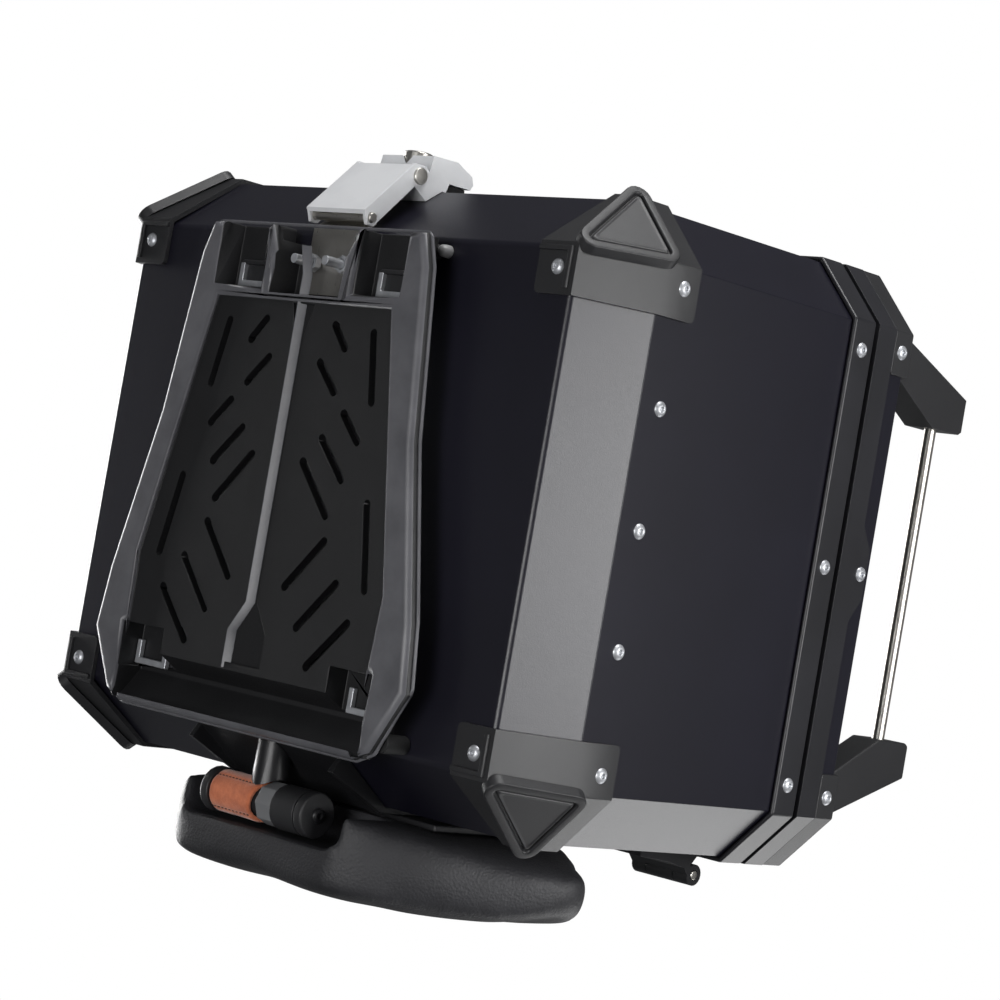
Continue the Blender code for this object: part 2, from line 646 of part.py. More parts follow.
def build_plate():
    plate = solid("base_plate", prism(plate_outline(), -PLATE_DROP, PLATE_TOP_Z), BLACK)
    rear = -FLAT_HALF_D
    field = [
        (PLATE_REAR_HALF - 0.016, rear + 0.047), (PLATE_FRONT_HALF - 0.030, rear + 0.210),
        (PLATE_FRONT_HALF - 0.032, FLAT_HALF_D - 0.040), (PLATE_FRONT_HALF - 0.038, FLAT_HALF_D - 0.020),
    ]  # fmt: skip
    field += [(-x, y) for x, y in reversed(field)]
    cut(plate, prism(field, -PLATE_DROP - 0.002, FIELD_Z))
    groove = [
        (GROOVE_HALF + 0.005, rear + 0.048), (GROOVE_HALF, rear + 0.066), (GROOVE_HALF, FLAT_HALF_D - 0.070),
        (GROOVE_HALF + 0.012, FLAT_HALF_D - 0.052), (GROOVE_HALF + 0.012, FLAT_HALF_D - 0.020),
    ]  # fmt: skip
    groove += [(-x, y) for x, y in reversed(groove)]
    cut(plate, prism(groove, -PLATE_DROP - 0.002, FIELD_Z + GROOVE_DEPTH))
    for start, end in slots():
        for x in (-1, 1):
            ends = [(x * start[0], start[1]), (x * end[0], end[1])]
            cut(plate, prism(slot_outline(*ends), -PLATE_DROP - 0.01, PLATE_TOP_Z + 0.01))
    shelf_low, shelf_high = -SHELF_DROP, -SHELF_DROP + PLATE_WALL - 0.0004
    half = STRIKE_HALF + 0.010
    deep = rear + 0.043
    places = pocket_places()
    reach = VALLEY_HALF + PLATE_WALL
    add(plate, prism(front_valley(PLATE_WALL), -reach, reach, "X"))
    for _, x, y in places:
        add(plate, box(*pocket_box(x, y, PLATE_WALL)))
    outside = half + PLATE_WALL
    add(plate, box((-outside, rear + 0.001, FIELD_Z), (outside, deep + PLATE_WALL, shelf_high)))
    cut(plate, prism(front_valley(), -VALLEY_HALF, VALLEY_HALF, "X"))
    for _, x, y in places:
        cut(plate, box(*pocket_box(x, y)))
    cut(plate, box((-half, rear - 0.01, -PLATE_DROP - 0.01), (half, deep, shelf_low)))
    # the notch that the strike comes out of
    notch = [
        (-half - 0.012, rear - 0.01), (half + 0.012, rear - 0.01),
        (half, rear + 0.016), (-half, rear + 0.016),
    ]  # fmt: skip
    cut(plate, prism(notch, -PLATE_DROP - 0.01, 0.0))
    for x in (-STRIKE_BOLT_X, STRIKE_BOLT_X):
        cut(plate, rod((x, bolt_y(), shelf_low), BOLT_RADIUS + GAP, 0.03, "Z", 12))
    for name, x, y in places:
        catch(name, x, y)
    for name, x, y in signs():
        if y < 0:
            radius, low = REAR_STAND_RADIUS, POCKET_SKIN - POCKET_CEILING
            reach = REAR_POCKET_X + POCKET_OUTWARD["rear"] + PLATE_WALL - radius
            place = (x * reach, rear + 0.009)
        else:
            radius, low = FRONT_STAND_RADIUS, PLATE_TOP_Z
            reach = FRONT_POCKET_X + POCKET_OUTWARD["front"] + PLATE_WALL + radius + 2 * GAP
            place = (x * reach, FLAT_HALF_D - 0.007)
        foot = rod((*place, low / 2), radius, -2 * GAP - low, "Z", 16)
        solid(f"standoff_{name}", foot, RUBBER)


def catch(name, x, y):
    """The steel U that a hook of the carrier goes into, on the pocket's floor."""
    top = -POCKET_CEILING - GAP
    w, d = CATCH_WIDTH / 2, CATCH_LENGTH / 2
    low = top - CATCH_HEIGHT
    window = solid(f"catch_{name}", box((x - w, y - d, low), (x + w, y + d, top)), STEEL)
    start = (x - w + CATCH_WALL, y - d - 0.01, low - 0.01)
    inner = box(start, (x + w - CATCH_WALL, y + d - CATCH_WALL, top + 0.01))
    cut(window, inner)


def bolt_y():
    return -FLAT_HALF_D + 0.0213


def build_strike():
    """Bent steel strike, bolted under the plate's rear shelf, that the latch's hook pin pulls on."""
    run = Vector((-END_CHAMFER, CHAMFER_RISE)).normalized()
    out = Vector((-run.y, run.x))
    if out.x > 0:
        out = -out
    foot = Vector((-FLAT_HALF_D, 0))
    low_z = -SHELF_DROP - GAP
    inner, outer = 0.0032, 0.0032 + STRIKE_SHEET
    pin = Vector(HOOK_PIN) - foot
    lip = pin.dot(run) + HOOK_PIN_RADIUS + 0.0009
    tip = pin.dot(out) + 0.0022

    def at(along, off):
        return tuple(foot + run * along + out * off)

    def bend(off, z):
        return tuple(foot + out * off + run * ((z - out.y * off) / run.y))

    outline = [
        (-FLAT_HALF_D + 0.040, low_z), (-FLAT_HALF_D + 0.040, low_z - STRIKE_SHEET),
        bend(outer, low_z - STRIKE_SHEET), at(lip, outer), at(lip, tip), at(lip + STRIKE_SHEET, tip),
        at(lip + STRIKE_SHEET, inner), bend(inner, low_z),
    ]  # fmt: skip
    strike = solid("strike", prism(outline, -STRIKE_HALF, STRIKE_HALF, "X"), STEEL)
    for name, x in sides():
        place = x * STRIKE_BOLT_X
        cut(strike, rod((place, bolt_y(), low_z), BOLT_RADIUS + GAP, 0.02, "Z", 12))
        nut_top = low_z - STRIKE_SHEET - GAP
        nut = rod((place, bolt_y(), nut_top - NUT_HEIGHT / 2), NUT_RADIUS, NUT_HEIGHT, "Z", 6)
        bore = rod((place, bolt_y(), nut_top), BOLT_RADIUS + GAP, 0.02, "Z", 12)
        cut(solid(f"strike_nut_{name}", nut, STEEL), bore)
        head = rod((place, bolt_y(), -BOLT_HEAD / 2 - GAP), NUT_RADIUS, BOLT_HEAD, "Z", 12)
        bolt = solid(f"strike_bolt_{name}", head, STEEL)
        tail, top = -PLATE_DROP + 0.001, -BOLT_HEAD / 2
        add(bolt, rod((place, bolt_y(), (tail + top) / 2), BOLT_RADIUS, top - tail, "Z", 12))


# ---- the base latch ----------------------------------------------------------
def build_latch():
    rear = -HALF_D
    pivot, hook = LATCH_PIVOT, HOOK_PIN
    side = [
        (hook[0] - 0.0035, hook[1] - 0.0065), (pivot[0] - 0.0068, pivot[1] - 0.0052),
        (pivot[0] - 0.0068, pivot[1] + 0.0040), (pivot[0] - 0.0030, pivot[1] + 0.0085),
        (pivot[0] + 0.0046, pivot[1] + 0.0050), (pivot[0] + 0.0072, pivot[1] - 0.0030),
        (hook[0] + 0.0050, hook[1] + 0.0020), (hook[0] + 0.0048, hook[1] - 0.0030),
    ]  # fmt: skip
    lever = solid("latch_lever", prism(side, -LEVER_HALF, LEVER_HALF, "X"), SILVER, LEVER_AXIS)
    slope = (Vector(side[1]) - Vector(side[0])).normalized()
    inward = Vector((slope.y, -slope.x))
    inward = inward if inward.x > 0 else -inward
    a = Vector(side[0]) + inward * LEVER_SHEET - slope * 0.02
    b = Vector(side[1]) + inward * LEVER_SHEET + slope * 0.006
    hollow = [
        tuple(a), tuple(b), (pivot[0] - 0.004, pivot[1] + 0.020),
        (pivot[0] + 0.03, pivot[1] + 0.020), (hook[0] + 0.04, hook[1] - 0.03),
    ]  # fmt: skip
    inner = LEVER_HALF - LEVER_SHEET
    cut(lever, prism(hollow, -inner, inner, "X"))
    # the top plate stops beside the pivot, so that it clears the base when the lever is open
    near = Vector(pivot) - inward * 0.0045
    far = Vector(pivot) - inward * 0.0120
    beyond = [tuple(near), tuple(far), tuple(far + slope * 0.012), tuple(near + slope * 0.012)]
    cut(lever, prism(beyond, -inner, inner, "X"))
    for place, radius in ((pivot, LATCH_PIN_RADIUS), (hook, HOOK_PIN_RADIUS)):
        cut(lever, rod((0, *place), radius + GAP, 2 * LEVER_HALF + 0.01, "X", 16))
    pivot_rod = rod((0, *pivot), LATCH_PIN_RADIUS, 2 * LEVER_HALF + 0.003, "X", 16)
    pin = solid("latch_pivot_pin", pivot_rod, STEEL, LEVER_AXIS)
    hook_pin = rod((0, *hook), HOOK_PIN_RADIUS, 2 * LEVER_HALF + 0.003, "X", 16)
    solid("latch_hook_pin", hook_pin, STEEL, LEVER_AXIS)
    head = 0.0014
    for _, x in sides():
        add(pin, rod((x * (LEVER_HALF + GAP + head / 2), *pivot), LATCH_PIN_RADIUS + 0.0012, head, "X", 16))
    base_half = LEVER_HALF - LEVER_SHEET - 2 * GAP
    top = rear - 0.0205
    run = Vector((-END_CHAMFER, CHAMFER_RISE)).normalized()
    out = Vector((-run.y, run.x))
    low = Vector((-FLAT_HALF_D, 0)) + run * ((CHAMFER_RISE - 0.012) / run.y) + out * 2 * GAP
    base = [
        (rear - 2 * GAP, CHAMFER_RISE), tuple(low), (pivot[0] + 0.0045, pivot[1] - 0.0030),
        (pivot[0], pivot[1] - 0.0045), (pivot[0] - 0.0033, pivot[1] + 0.0020),
        (pivot[0] - 0.0033, pivot[1] + 0.0100), (top + 0.0005, pivot[1] + 0.0120),
        (top, LOCK_Z + 0.012), (top + 0.006, LOCK_Z + 0.026), (top + 0.011, LOCK_Z + 0.028),
        (rear - 0.0062, LOCK_Z + 0.026), (rear - 0.0062, LOCK_Z + 0.008), (rear - GAP, LOCK_Z + 0.006),
    ]  # fmt: skip
    bracket = solid("latch_base", prism(base, -base_half, base_half, "X"), GREY)
    add(bracket, rod((0, *pivot), LATCH_PIN_RADIUS + 0.0016, 2 * base_half - 2 * GAP, "X"))
    cut(bracket, rod((0, *pivot), LATCH_PIN_RADIUS + GAP, 2 * LEVER_HALF, "X", 16))
    cut(bracket, rod((0, top, LOCK_Z), LATCH_LOCK_RADIUS + GAP, 0.026, "Y", 16))
    barrel_in = top + 0.013 - GAP
    barrel = rod((0, (barrel_in - LOCK_OUT) / 2, LOCK_Z), LATCH_LOCK_RADIUS, barrel_in + LOCK_OUT, "Y", 16)
    lock = solid("latch_lock_cylinder", barrel, STEEL, LOCK_AXIS)
    cut(lock, box((-0.0008, -LOCK_OUT - 0.001, LOCK_Z - 0.005), (0.0008, -LOCK_OUT + 0.002, LOCK_Z + 0.005)))
    rest_half = base_half - 0.002
    rest = box((-rest_half, rear - 0.0062 + GAP, LOCK_Z + 0.009), (rest_half, rear - GAP, LOCK_Z + 0.024))
    solid("latch_rest", rest, RUBBER)


# ---- the front bracket, the grip and the backrest ----------------------------
def brace_outline(low_off, high_off, top):
    """Side view of a sheet that lies on the front chamfer and goes up the front face."""
    start = 0.19  # share of the chamfer below the sheet
    y0, z0 = FLAT_HALF_D + END_CHAMFER * start, CHAMFER_RISE * start
    out = Vector((CHAMFER_RISE, -END_CHAMFER)).normalized()
    knee = out.y * 0.65
    return [
        (y0 + out.x * low_off, z0 + out.y * low_off), (HALF_D + low_off, CHAMFER_RISE + knee * low_off),
        (HALF_D + low_off, top), (HALF_D + high_off, top),
        (HALF_D + high_off, CHAMFER_RISE + knee * high_off), (y0 + out.x * high_off, z0 + out.y * high_off),
    ]  # fmt: skip


def build_front():
    sheet = GAP + BRACE_SHEET
    folded = prism(brace_outline(GAP, sheet, BRACE_TOP), -BRACE_HALF, BRACE_HALF, "X")
    brace = solid("front_bracket", folded, BLACK)
    lip = brace_outline(sheet - 0.001, sheet + BRACE_LIP, CHAMFER_RISE)
    lip = [lip[0], lip[1], (PAD_BACK - 2 * GAP, CHAMFER_RISE - 0.004), lip[5]]
    for _, x in sides():
        low, high = span(x * BRACE_HALF, x * (BRACE_HALF - BRACE_SHEET))
        add(brace, prism(lip, low, high, "X"))
    grip_y, grip_z = GRIP_CENTRE_Y, GRIP_Z
    neck_start = HALF_D - END_CHAMFER + 0.010
    neck = rod((0, (neck_start + grip_y) / 2, grip_z), NECK_RADIUS, grip_y - neck_start, "Y", 20)
    stem = solid("grip_neck", neck, BLACK)
    cut(stem, prism(brace_outline(-0.05, sheet + GAP, BRACE_TOP), -BRACE_HALF, BRACE_HALF, "X"))
    cut(stem, rod((0, grip_y, grip_z), GRIP_RADIUS + 2 * GAP, 2 * GRIP_HALF + 0.02, "X", 24))
    cap = 0.0070
    ring_in = GRIP_CORE_RADIUS + GAP
    core = rod((0, grip_y, grip_z), GRIP_CORE_RADIUS, 2 * (GRIP_HALF - cap - GAP), "X")
    solid("grip_core", core, BLACK)
    wrap_end = -GRIP_HALF + cap + GAP
    solid("grip_wrap", tube(wrap_end, COLLAR_START, grip_y, grip_z, ring_in, WRAP_RADIUS), SUEDE)
    facets = 8
    clear = ring_in / math.cos(math.pi / facets)
    solid("grip_collar", tube(COLLAR_START + GAP, COLLAR_END, grip_y, grip_z, clear, WRAP_RADIUS, facets), GREY)
    sleeve_end = GRIP_HALF - cap - GAP
    solid("grip_sleeve", tube(COLLAR_END + GAP, sleeve_end, grip_y, grip_z, ring_in, GRIP_RADIUS), BLACK)
    for name, x in sides():
        end = rod((x * (GRIP_HALF - cap / 2), grip_y, grip_z), GRIP_RADIUS, cap - GAP, "X")
        solid(f"grip_end_{name}", end, BLACK)
    build_backrest()


def pad_face():
    """The pad seen from the front: a narrow foot, and wings that sweep up and out."""
    rise = PAD_TOP - PAD_BOTTOM
    sweep = PAD_HALF - PAD_FOOT_HALF
    half = [(PAD_FOOT_HALF - 0.006, PAD_BOTTOM)]
    for step in range(1, 6):
        share = step / 6
        half.append((PAD_FOOT_HALF + sweep * share, PAD_BOTTOM + rise * (0.66 * share ** 1.15)))
    half += [
        (PAD_HALF - 0.003, PAD_BOTTOM + rise * 0.67), (PAD_HALF, PAD_BOTTOM + rise * 0.72),
        (PAD_HALF - 0.012, PAD_BOTTOM + rise * 0.82), (PAD_HALF - 0.042, PAD_BOTTOM + rise * 0.93),
        (PAD_HALF - 0.095, PAD_TOP),
    ]  # fmt: skip
    return half + [(-x, z) for x, z in reversed(half)]


def pad_plan():
    """The pad seen from above: flat in the middle, its wings thinner and turned forward."""
    half = [
        (PAD_HALF * 0.53, PAD_BACK), (PAD_HALF * 0.68, PAD_BACK + 0.005), (PAD_HALF * 0.80, PAD_BACK + 0.012),
        (PAD_HALF, PAD_BACK + 0.015), (PAD_HALF, PAD_FRONT - 0.026), (PAD_HALF * 0.95, PAD_FRONT - 0.010),
        (PAD_HALF * 0.84, PAD_FRONT - 0.001), (PAD_HALF * 0.70, PAD_FRONT),
    ]  # fmt: skip
    return half + [(-x, y) for x, y in reversed(half)]


def build_backrest():
    pad = solid("backrest_pad", prism(pad_plan(), PAD_BOTTOM, PAD_TOP), FOAM)
    keep(pad, prism(pad_face(), PAD_BACK - 0.01, PAD_FRONT + 0.01, "Y"))
    notch_y = PAD_BACK + NOTCH_DEPTH
    cut(pad, box((-NOTCH_HALF, PAD_BACK - 0.01, PAD_BOTTOM - 0.01), (NOTCH_HALF, notch_y, NOTCH_TOP)))
    low, high = NOTCH_TOP + 0.012, PAD_TOP - 0.022
    board_y = (PAD_BACK + GAP, PAD_BACK + GAP + BOARD_SHEET)
    recess = BOARD_HALF + GAP
    cut(pad, box((-recess, PAD_BACK - 0.01, low - GAP), (recess, board_y[1] + GAP, high + GAP)))
    solid("backrest_board", box((-BOARD_HALF, board_y[0], low), (BOARD_HALF, board_y[1], high)), BLACK)


def clear_scene():
    for old in list(bpy.data.objects):
        bpy.data.objects.remove(old, do_unlink=True)


clear_scene()
NAVY = material("powder_coat_navy", (0.012, 0.012, 0.022), 0.45, 0.3)
BLACK = material("moulded_black", (0.014, 0.014, 0.016), 0.50)
RUBBER = material("rubber", (0.010, 0.010, 0.010), 0.75)
STEEL = material("brushed_steel", (0.55, 0.53, 0.50), 0.30, 1.0)
SILVER = material("silver_coat", (0.62, 0.62, 0.64), 0.35, 0.8)
GREY = material("grey_coat", (0.30, 0.30, 0.32), 0.45, 0.5)
SUEDE = material("rust_suede", (0.42, 0.13, 0.06), 0.90)
FOAM = material("skinned_foam", (0.030, 0.030, 0.034), 0.70)
CUT = material("cutter", (1.0, 0.0, 1.0), 0.5)

AXES = {}
RESTING_FRAME = bpy.data.objects.new("resting_frame", None)
bpy.context.scene.collection.objects.link(RESTING_FRAME)
RESTING_FRAME.location = (0, (LOCK_OUT - PAD_FRONT) / 2, PLATE_DROP)
LID_AXIS = empty("lid_axis", (0, HINGE_Y, HINGE_Z))
LEVER_AXIS = empty("lever_axis", (0, *LATCH_PIVOT))
LOCK_AXIS = empty("latch_lock_axis", (0, -LOCK_OUT, LOCK_Z))
LID_LOCK_AXIS = empty("lid_lock_axis", (0, -HALF_D, LID_LOCK_Z))

build_case()
for corner, sign_x, sign_y in signs():
    corner_guard(corner, sign_x, sign_y)
build_lid()
build_hinges()
build_lid_lock()
build_plate()
build_strike()
build_latch()
build_front()
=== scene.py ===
"""Looks of the motorcycle top case: its finishes, its fine shapes, the light and the camera.

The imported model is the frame. Each stiff node is shown as a copy with eased edges, the
backrest's foam is swollen by a cloth simulation, and the rivets, stitches and screws are
added here. Lengths are in metres and patterns are sized in millimetres.
"""

from __future__ import annotations

import json
import logging
import math
from collections.abc import Callable
from dataclasses import dataclass
from enum import Enum

import bmesh
import bpy
from mathutils import Matrix, Vector, noise

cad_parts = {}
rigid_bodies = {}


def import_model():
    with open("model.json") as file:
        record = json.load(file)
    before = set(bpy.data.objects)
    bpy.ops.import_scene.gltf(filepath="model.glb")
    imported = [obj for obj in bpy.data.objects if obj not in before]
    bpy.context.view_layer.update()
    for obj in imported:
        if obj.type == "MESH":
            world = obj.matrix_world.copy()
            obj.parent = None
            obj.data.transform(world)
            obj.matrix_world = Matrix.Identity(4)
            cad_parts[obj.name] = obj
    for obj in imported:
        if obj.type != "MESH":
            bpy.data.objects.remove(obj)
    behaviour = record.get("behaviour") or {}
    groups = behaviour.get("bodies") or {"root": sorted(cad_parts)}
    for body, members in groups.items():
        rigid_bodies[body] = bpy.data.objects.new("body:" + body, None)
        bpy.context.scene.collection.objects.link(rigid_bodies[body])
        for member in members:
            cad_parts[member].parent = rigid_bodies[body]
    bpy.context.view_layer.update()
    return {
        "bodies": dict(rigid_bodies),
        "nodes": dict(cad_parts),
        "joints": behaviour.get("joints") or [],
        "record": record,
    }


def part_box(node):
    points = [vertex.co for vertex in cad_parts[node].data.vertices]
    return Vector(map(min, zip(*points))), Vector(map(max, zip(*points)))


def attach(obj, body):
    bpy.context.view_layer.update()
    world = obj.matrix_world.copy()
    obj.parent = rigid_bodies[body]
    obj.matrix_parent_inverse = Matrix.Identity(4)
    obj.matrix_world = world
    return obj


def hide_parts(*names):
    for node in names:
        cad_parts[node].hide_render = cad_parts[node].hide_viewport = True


MM = 0.001
WELD = 0.01 * MM
SIDES = (-1, 1)
UP = Vector((0, 0, 1))

# Edges that turn more than this are drawn sharp, and those that turn more than EASED are rounded.
SHARP = math.radians(50)
EASED = math.radians(28)

log = logging.getLogger("top_case")


class Body(Enum):
    """The rigid groups that pieces ride on."""

    CASE = "root"
    LID = "lid"
    LEVER = "latch_lever"
    LATCH_LOCK = "latch_lock"
    LID_LOCK = "lid_lock"


class Slot(Enum):
    """The record's material slots."""

    POWDER = "powder_coat"
    RIM = "rim_black"
    MOULDED = "moulded_black"
    PLATE = "plate_black"
    BRACKET = "bracket_black"
    RUBBER = "rubber"
    STEEL = "steel"
    SILVER = "silver_coat"
    COLLAR = "grey_collar"
    SUEDE = "suede"
    FOAM = "skinned_foam"


def linear(code: str) -> tuple[float, float, float, float]:
    """Turns an sRGB hex colour into linear light.

    Args:
        code: six hex digits after a hash.

    Returns:
        Red, green, blue and an alpha of 1.
    """
    parts = [int(code[i : i + 2], 16) / 255 for i in (1, 3, 5)]
    light = [p / 12.92 if p <= 0.04045 else ((p + 0.055) / 1.055) ** 2.4 for p in parts]
    return (*light, 1.0)


def add_node(
    tree: bpy.types.NodeTree, kind: str, inputs: dict | None = None, **settings: object
) -> bpy.types.Node:
    """Adds a shader node with its settings and links.

    Args:
        tree: the node tree.
        kind: the node's type.
        inputs: value or output socket for each input, by name or index.
        **settings: the node's own properties.

    Returns:
        The node.
    """
    node = tree.nodes.new(kind)
    for name, value in settings.items():
        setattr(node, name, value)
    for name, value in (inputs or {}).items():
        if isinstance(value, bpy.types.NodeSocket):
            tree.links.new(value, node.inputs[name])
        else:
            node.inputs[name].default_value = value
    return node


@dataclass(frozen=True)
class Finish:
    """A surface finish, from what the real one is and how it was made.

    Sizes are in millimetres: the grain is the fine relief, and the cloud is the slow
    change of tone across a surface. The slot is the record's, for the pieces that wear it.
    """

    name: str
    slot: Slot | None
    colour: str
    shade: str
    roughness: float
    spread: float = 0.06
    metallic: float = 0.0
    ior: float = 1.5
    grain_mm: float = 0.8
    relief: float = 0.10
    cloud_mm: float = 60.0
    stretch: tuple[float, float, float] = (1.0, 1.0, 1.0)
    cells: bool = False
    sheen: float = 0.0
    coat: float = 0.0
    coat_roughness: float = 0.25
    tone_steps: tuple[float, float] = (0.35, 0.65)
    gloss_steps: tuple[float, float] = (0.3, 0.7)
    cell_grains: float = 1.6

    def build(self) -> bpy.types.Material:
        """Makes the material's nodes: clouded colour and gloss, and a fine relief.

        Returns:
            The material.
        """
        material = bpy.data.materials.new(self.name)
        material.use_nodes = True
        tree = material.node_tree
        shader = tree.nodes["Principled BSDF"]
        place = add_node(tree, "ShaderNodeTexCoord").outputs["Object"]
        drawn = add_node(tree, "ShaderNodeMapping", {"Vector": place, "Scale": self.stretch})
        fine_place = drawn.outputs["Vector"]
        cloud = add_node(
            tree, "ShaderNodeTexNoise",
            {"Vector": place, "Scale": 1 / (self.cloud_mm * MM), "Detail": 6.0, "Roughness": 0.6},
        )
        tone = add_node(tree, "ShaderNodeValToRGB", {"Fac": cloud.outputs["Fac"]})
        for end, step, code in zip(tone.color_ramp.elements, self.tone_steps, (self.shade, self.colour)):
            end.position, end.color = step, linear(code)
        fine = add_node(
            tree, "ShaderNodeTexNoise",
            {"Vector": fine_place, "Scale": 1 / (self.grain_mm * MM), "Detail": 3.0, "Roughness": 0.6},
        )
        height = fine.outputs["Fac"]
        if self.cells:
            width = self.grain_mm * self.cell_grains * MM
            cell = add_node(
                tree, "ShaderNodeTexVoronoi", {"Vector": fine_place, "Scale": 1 / width, "Smoothness": 0.6},
                feature="SMOOTH_F1",
            )
            pebbled = add_node(
                tree, "ShaderNodeMath", {0: fine.outputs["Fac"], 1: cell.outputs["Distance"]}, operation="ADD"
            )
            height = pebbled.outputs["Value"]
        least, most = self.gloss_steps
        gloss = add_node(
            tree, "ShaderNodeMapRange",
            {
                "Value": fine.outputs["Fac"], "From Min": least, "From Max": most,
                "To Min": self.roughness - self.spread, "To Max": self.roughness + self.spread,
            },
        )
        bump = add_node(
            tree, "ShaderNodeBump",
            {"Height": height, "Strength": 1.0, "Distance": self.relief * MM},
        )
        tree.links.new(tone.outputs["Color"], shader.inputs["Base Color"])
        tree.links.new(gloss.outputs["Result"], shader.inputs["Roughness"])
        tree.links.new(bump.outputs["Normal"], shader.inputs["Normal"])
        even = {
            "Metallic": self.metallic, "IOR": self.ior, "Sheen Weight": self.sheen,
            "Coat Weight": self.coat, "Coat Roughness": self.coat_roughness,
        }  # fmt: skip
        for name, value in even.items():
            shader.inputs[name].default_value = value
        return material


# Polyester powder on aluminium sheet, baked: dark navy, dull, with a faint orange-peel grain.
POWDER = Finish(
    "navy_powder_coat", Slot.POWDER, "#12111c", "#0f0e18", 0.36, spread=0.04,
    grain_mm=0.7, relief=0.05, cloud_mm=90,
)
# Coated aluminium extrusion: near black, smoother than the sheet.
RIM = Finish(
    "satin_black_extrusion", Slot.RIM, "#202024", "#1a1a1d", 0.40, spread=0.05, grain_mm=0.5, relief=0.025,
)
# Glass-filled nylon from a spark-eroded mould: charcoal, fine grain, soft highlights.
MOULDED = Finish(
    "moulded_charcoal_nylon", Slot.MOULDED, "#232325", "#1c1c1e", 0.48, grain_mm=0.6, relief=0.05,
)
# The same resin for the plate, moulded coarser and scuffed where hooks slide.
PLATE = Finish(
    "moulded_plate_nylon", Slot.PLATE, "#131315", "#0e0e10", 0.55, spread=0.09,
    grain_mm=0.6, relief=0.07, cloud_mm=25,
)
# The plate's raised frame, its bead and the channel's wall: a paler, glossier copy of the plate's resin, a
# painted highlight for the light that they catch.
PAINTED_HIGHLIGHT = Finish(
    "plate_nylon_painted_highlight", Slot.PLATE, "#5c5c60", "#4b4b4f", 0.40, spread=0.08,
    grain_mm=0.6, relief=0.05, cloud_mm=35,
)
# Sprayed satin enamel on steel brackets.
BRACKET = Finish(
    "satin_black_enamel", Slot.BRACKET, "#1c1c1e", "#171719", 0.38, grain_mm=0.9, relief=0.03,
)
# Moulded black rubber: matt, with no sharp highlight.
RUBBER = Finish("moulded_rubber", Slot.RUBBER, "#141415", "#101011", 0.70, grain_mm=0.9, relief=0.06)
# Brushed stainless: fine lines along the bars' length and a warm grey metal.
STEEL = Finish(
    "brushed_stainless", Slot.STEEL, "#cfccc6", "#b9b5ae", 0.33, metallic=1.0,
    grain_mm=0.8, relief=0.012, stretch=(1.0, 0.08, 1.0),
)
# Silver lacquer on cast aluminium: metal flake under a thin clear layer.
SILVER = Finish(
    "silver_lacquer", Slot.SILVER, "#e4e5e7", "#d8d9dc", 0.40, metallic=0.20,
    grain_mm=0.35, relief=0.015, coat=0.25,
)
# Grey moulded plastic with a satin face: even, a little glossier than the nylon.
COLLAR = Finish("grey_satin_plastic", Slot.COLLAR, "#77787a", "#6b6c6e", 0.40, grain_mm=0.7, relief=0.03)
# Split leather, brushed: rust, with a directionless nap that pales at grazing angles.
SUEDE = Finish(
    "rust_suede", Slot.SUEDE, "#d07a54", "#b5613f", 0.92, spread=0.05,
    grain_mm=0.45, relief=0.22, cloud_mm=7, sheen=0.35,
)
# Waxed polyester thread: darker than the suede and a little shiny.
THREAD = Finish("waxed_thread", Slot.SUEDE, "#5b3a2c", "#4a2e22", 0.65, grain_mm=0.25, relief=0.03)
# Zinc-plated rivets: pale, slightly dulled by handling.
ZINC = Finish(
    "zinc_plate", Slot.STEEL, "#c6c8cc", "#aeb0b5", 0.42, metallic=0.7,
    grain_mm=0.5, relief=0.02, cloud_mm=8,
)
# Integral-skin polyurethane: charcoal skin with a pebbled grain from its mould.
FOAM = Finish(
    "pebbled_foam_skin", Slot.FOAM, "#2b2b2e", "#222225", 0.58,
    grain_mm=1.1, relief=0.22, cloud_mm=40, cells=True,
)
# Clear silicone gone milky: pale grey and soft.
STOPPER = Finish("milky_silicone", Slot.RUBBER, "#8f8f8f", "#7d7d7d", 0.35, grain_mm=1.0, relief=0.02)
# Painted board under the object: nearly white and matt.
FLOOR = Finish("pale_floor", None, "#e6e6e4", "#dededc", 0.8, grain_mm=3.0, relief=0.05, cloud_mm=400)


class Dressing:
    """Finished materials, made once each, and the calls that every piece needs."""

    def __init__(self) -> None:
        """Starts with no material made."""
        self.made: dict[str, bpy.types.Material] = {}

    def material(self, finish: Finish) -> bpy.types.Material:
        """Returns the finish's material, made on its first use."""
        if finish.name not in self.made:
            self.made[finish.name] = finish.build()
        return self.made[finish.name]

    def piece(
        self, name: str, mesh: bmesh.types.BMesh, finish: Finish, body: Body
    ) -> bpy.types.Object:
        """Turns a bmesh into a dressed piece that rides on its body.

        Args:
            name: the piece's name.
            mesh: its shape, which is freed.
            finish: its surface.
            body: the rigid group that it moves with.

        Returns:
            The new object.
        """
        data = bpy.data.meshes.new(name)
        mesh.to_mesh(data)
        mesh.free()
        data.shade_smooth()
        data.set_sharp_from_angle(angle=SHARP)
        data.materials.append(self.material(finish))
        made = bpy.data.objects.new(name, data)
        bpy.context.scene.collection.objects.link(made)
        even = made.modifiers.new("even_normals", "WEIGHTED_NORMAL")
        even.keep_sharp = True
        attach(made, body.value)
        log.info("%s: %d faces on %s", name, len(data.polygons), body.value)
        return made


def merged_copy(node: str, frame: dict) -> bmesh.types.BMesh:
    """Copies a node's triangles, joins them, and clears the lines inside its flat faces.

    Args:
        node: the node's name.
        frame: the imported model.

    Returns:
        The copy.
    """
    mesh = bmesh.new()
    mesh.from_mesh(frame["nodes"][node].data)
    bmesh.ops.remove_doubles(mesh, verts=mesh.verts, dist=WELD)
    bmesh.ops.dissolve_limit(
        mesh, angle_limit=math.radians(1.0), use_dissolve_boundaries=False,
        verts=mesh.verts, edges=mesh.edges, delimit=set(),
    )
    return mesh


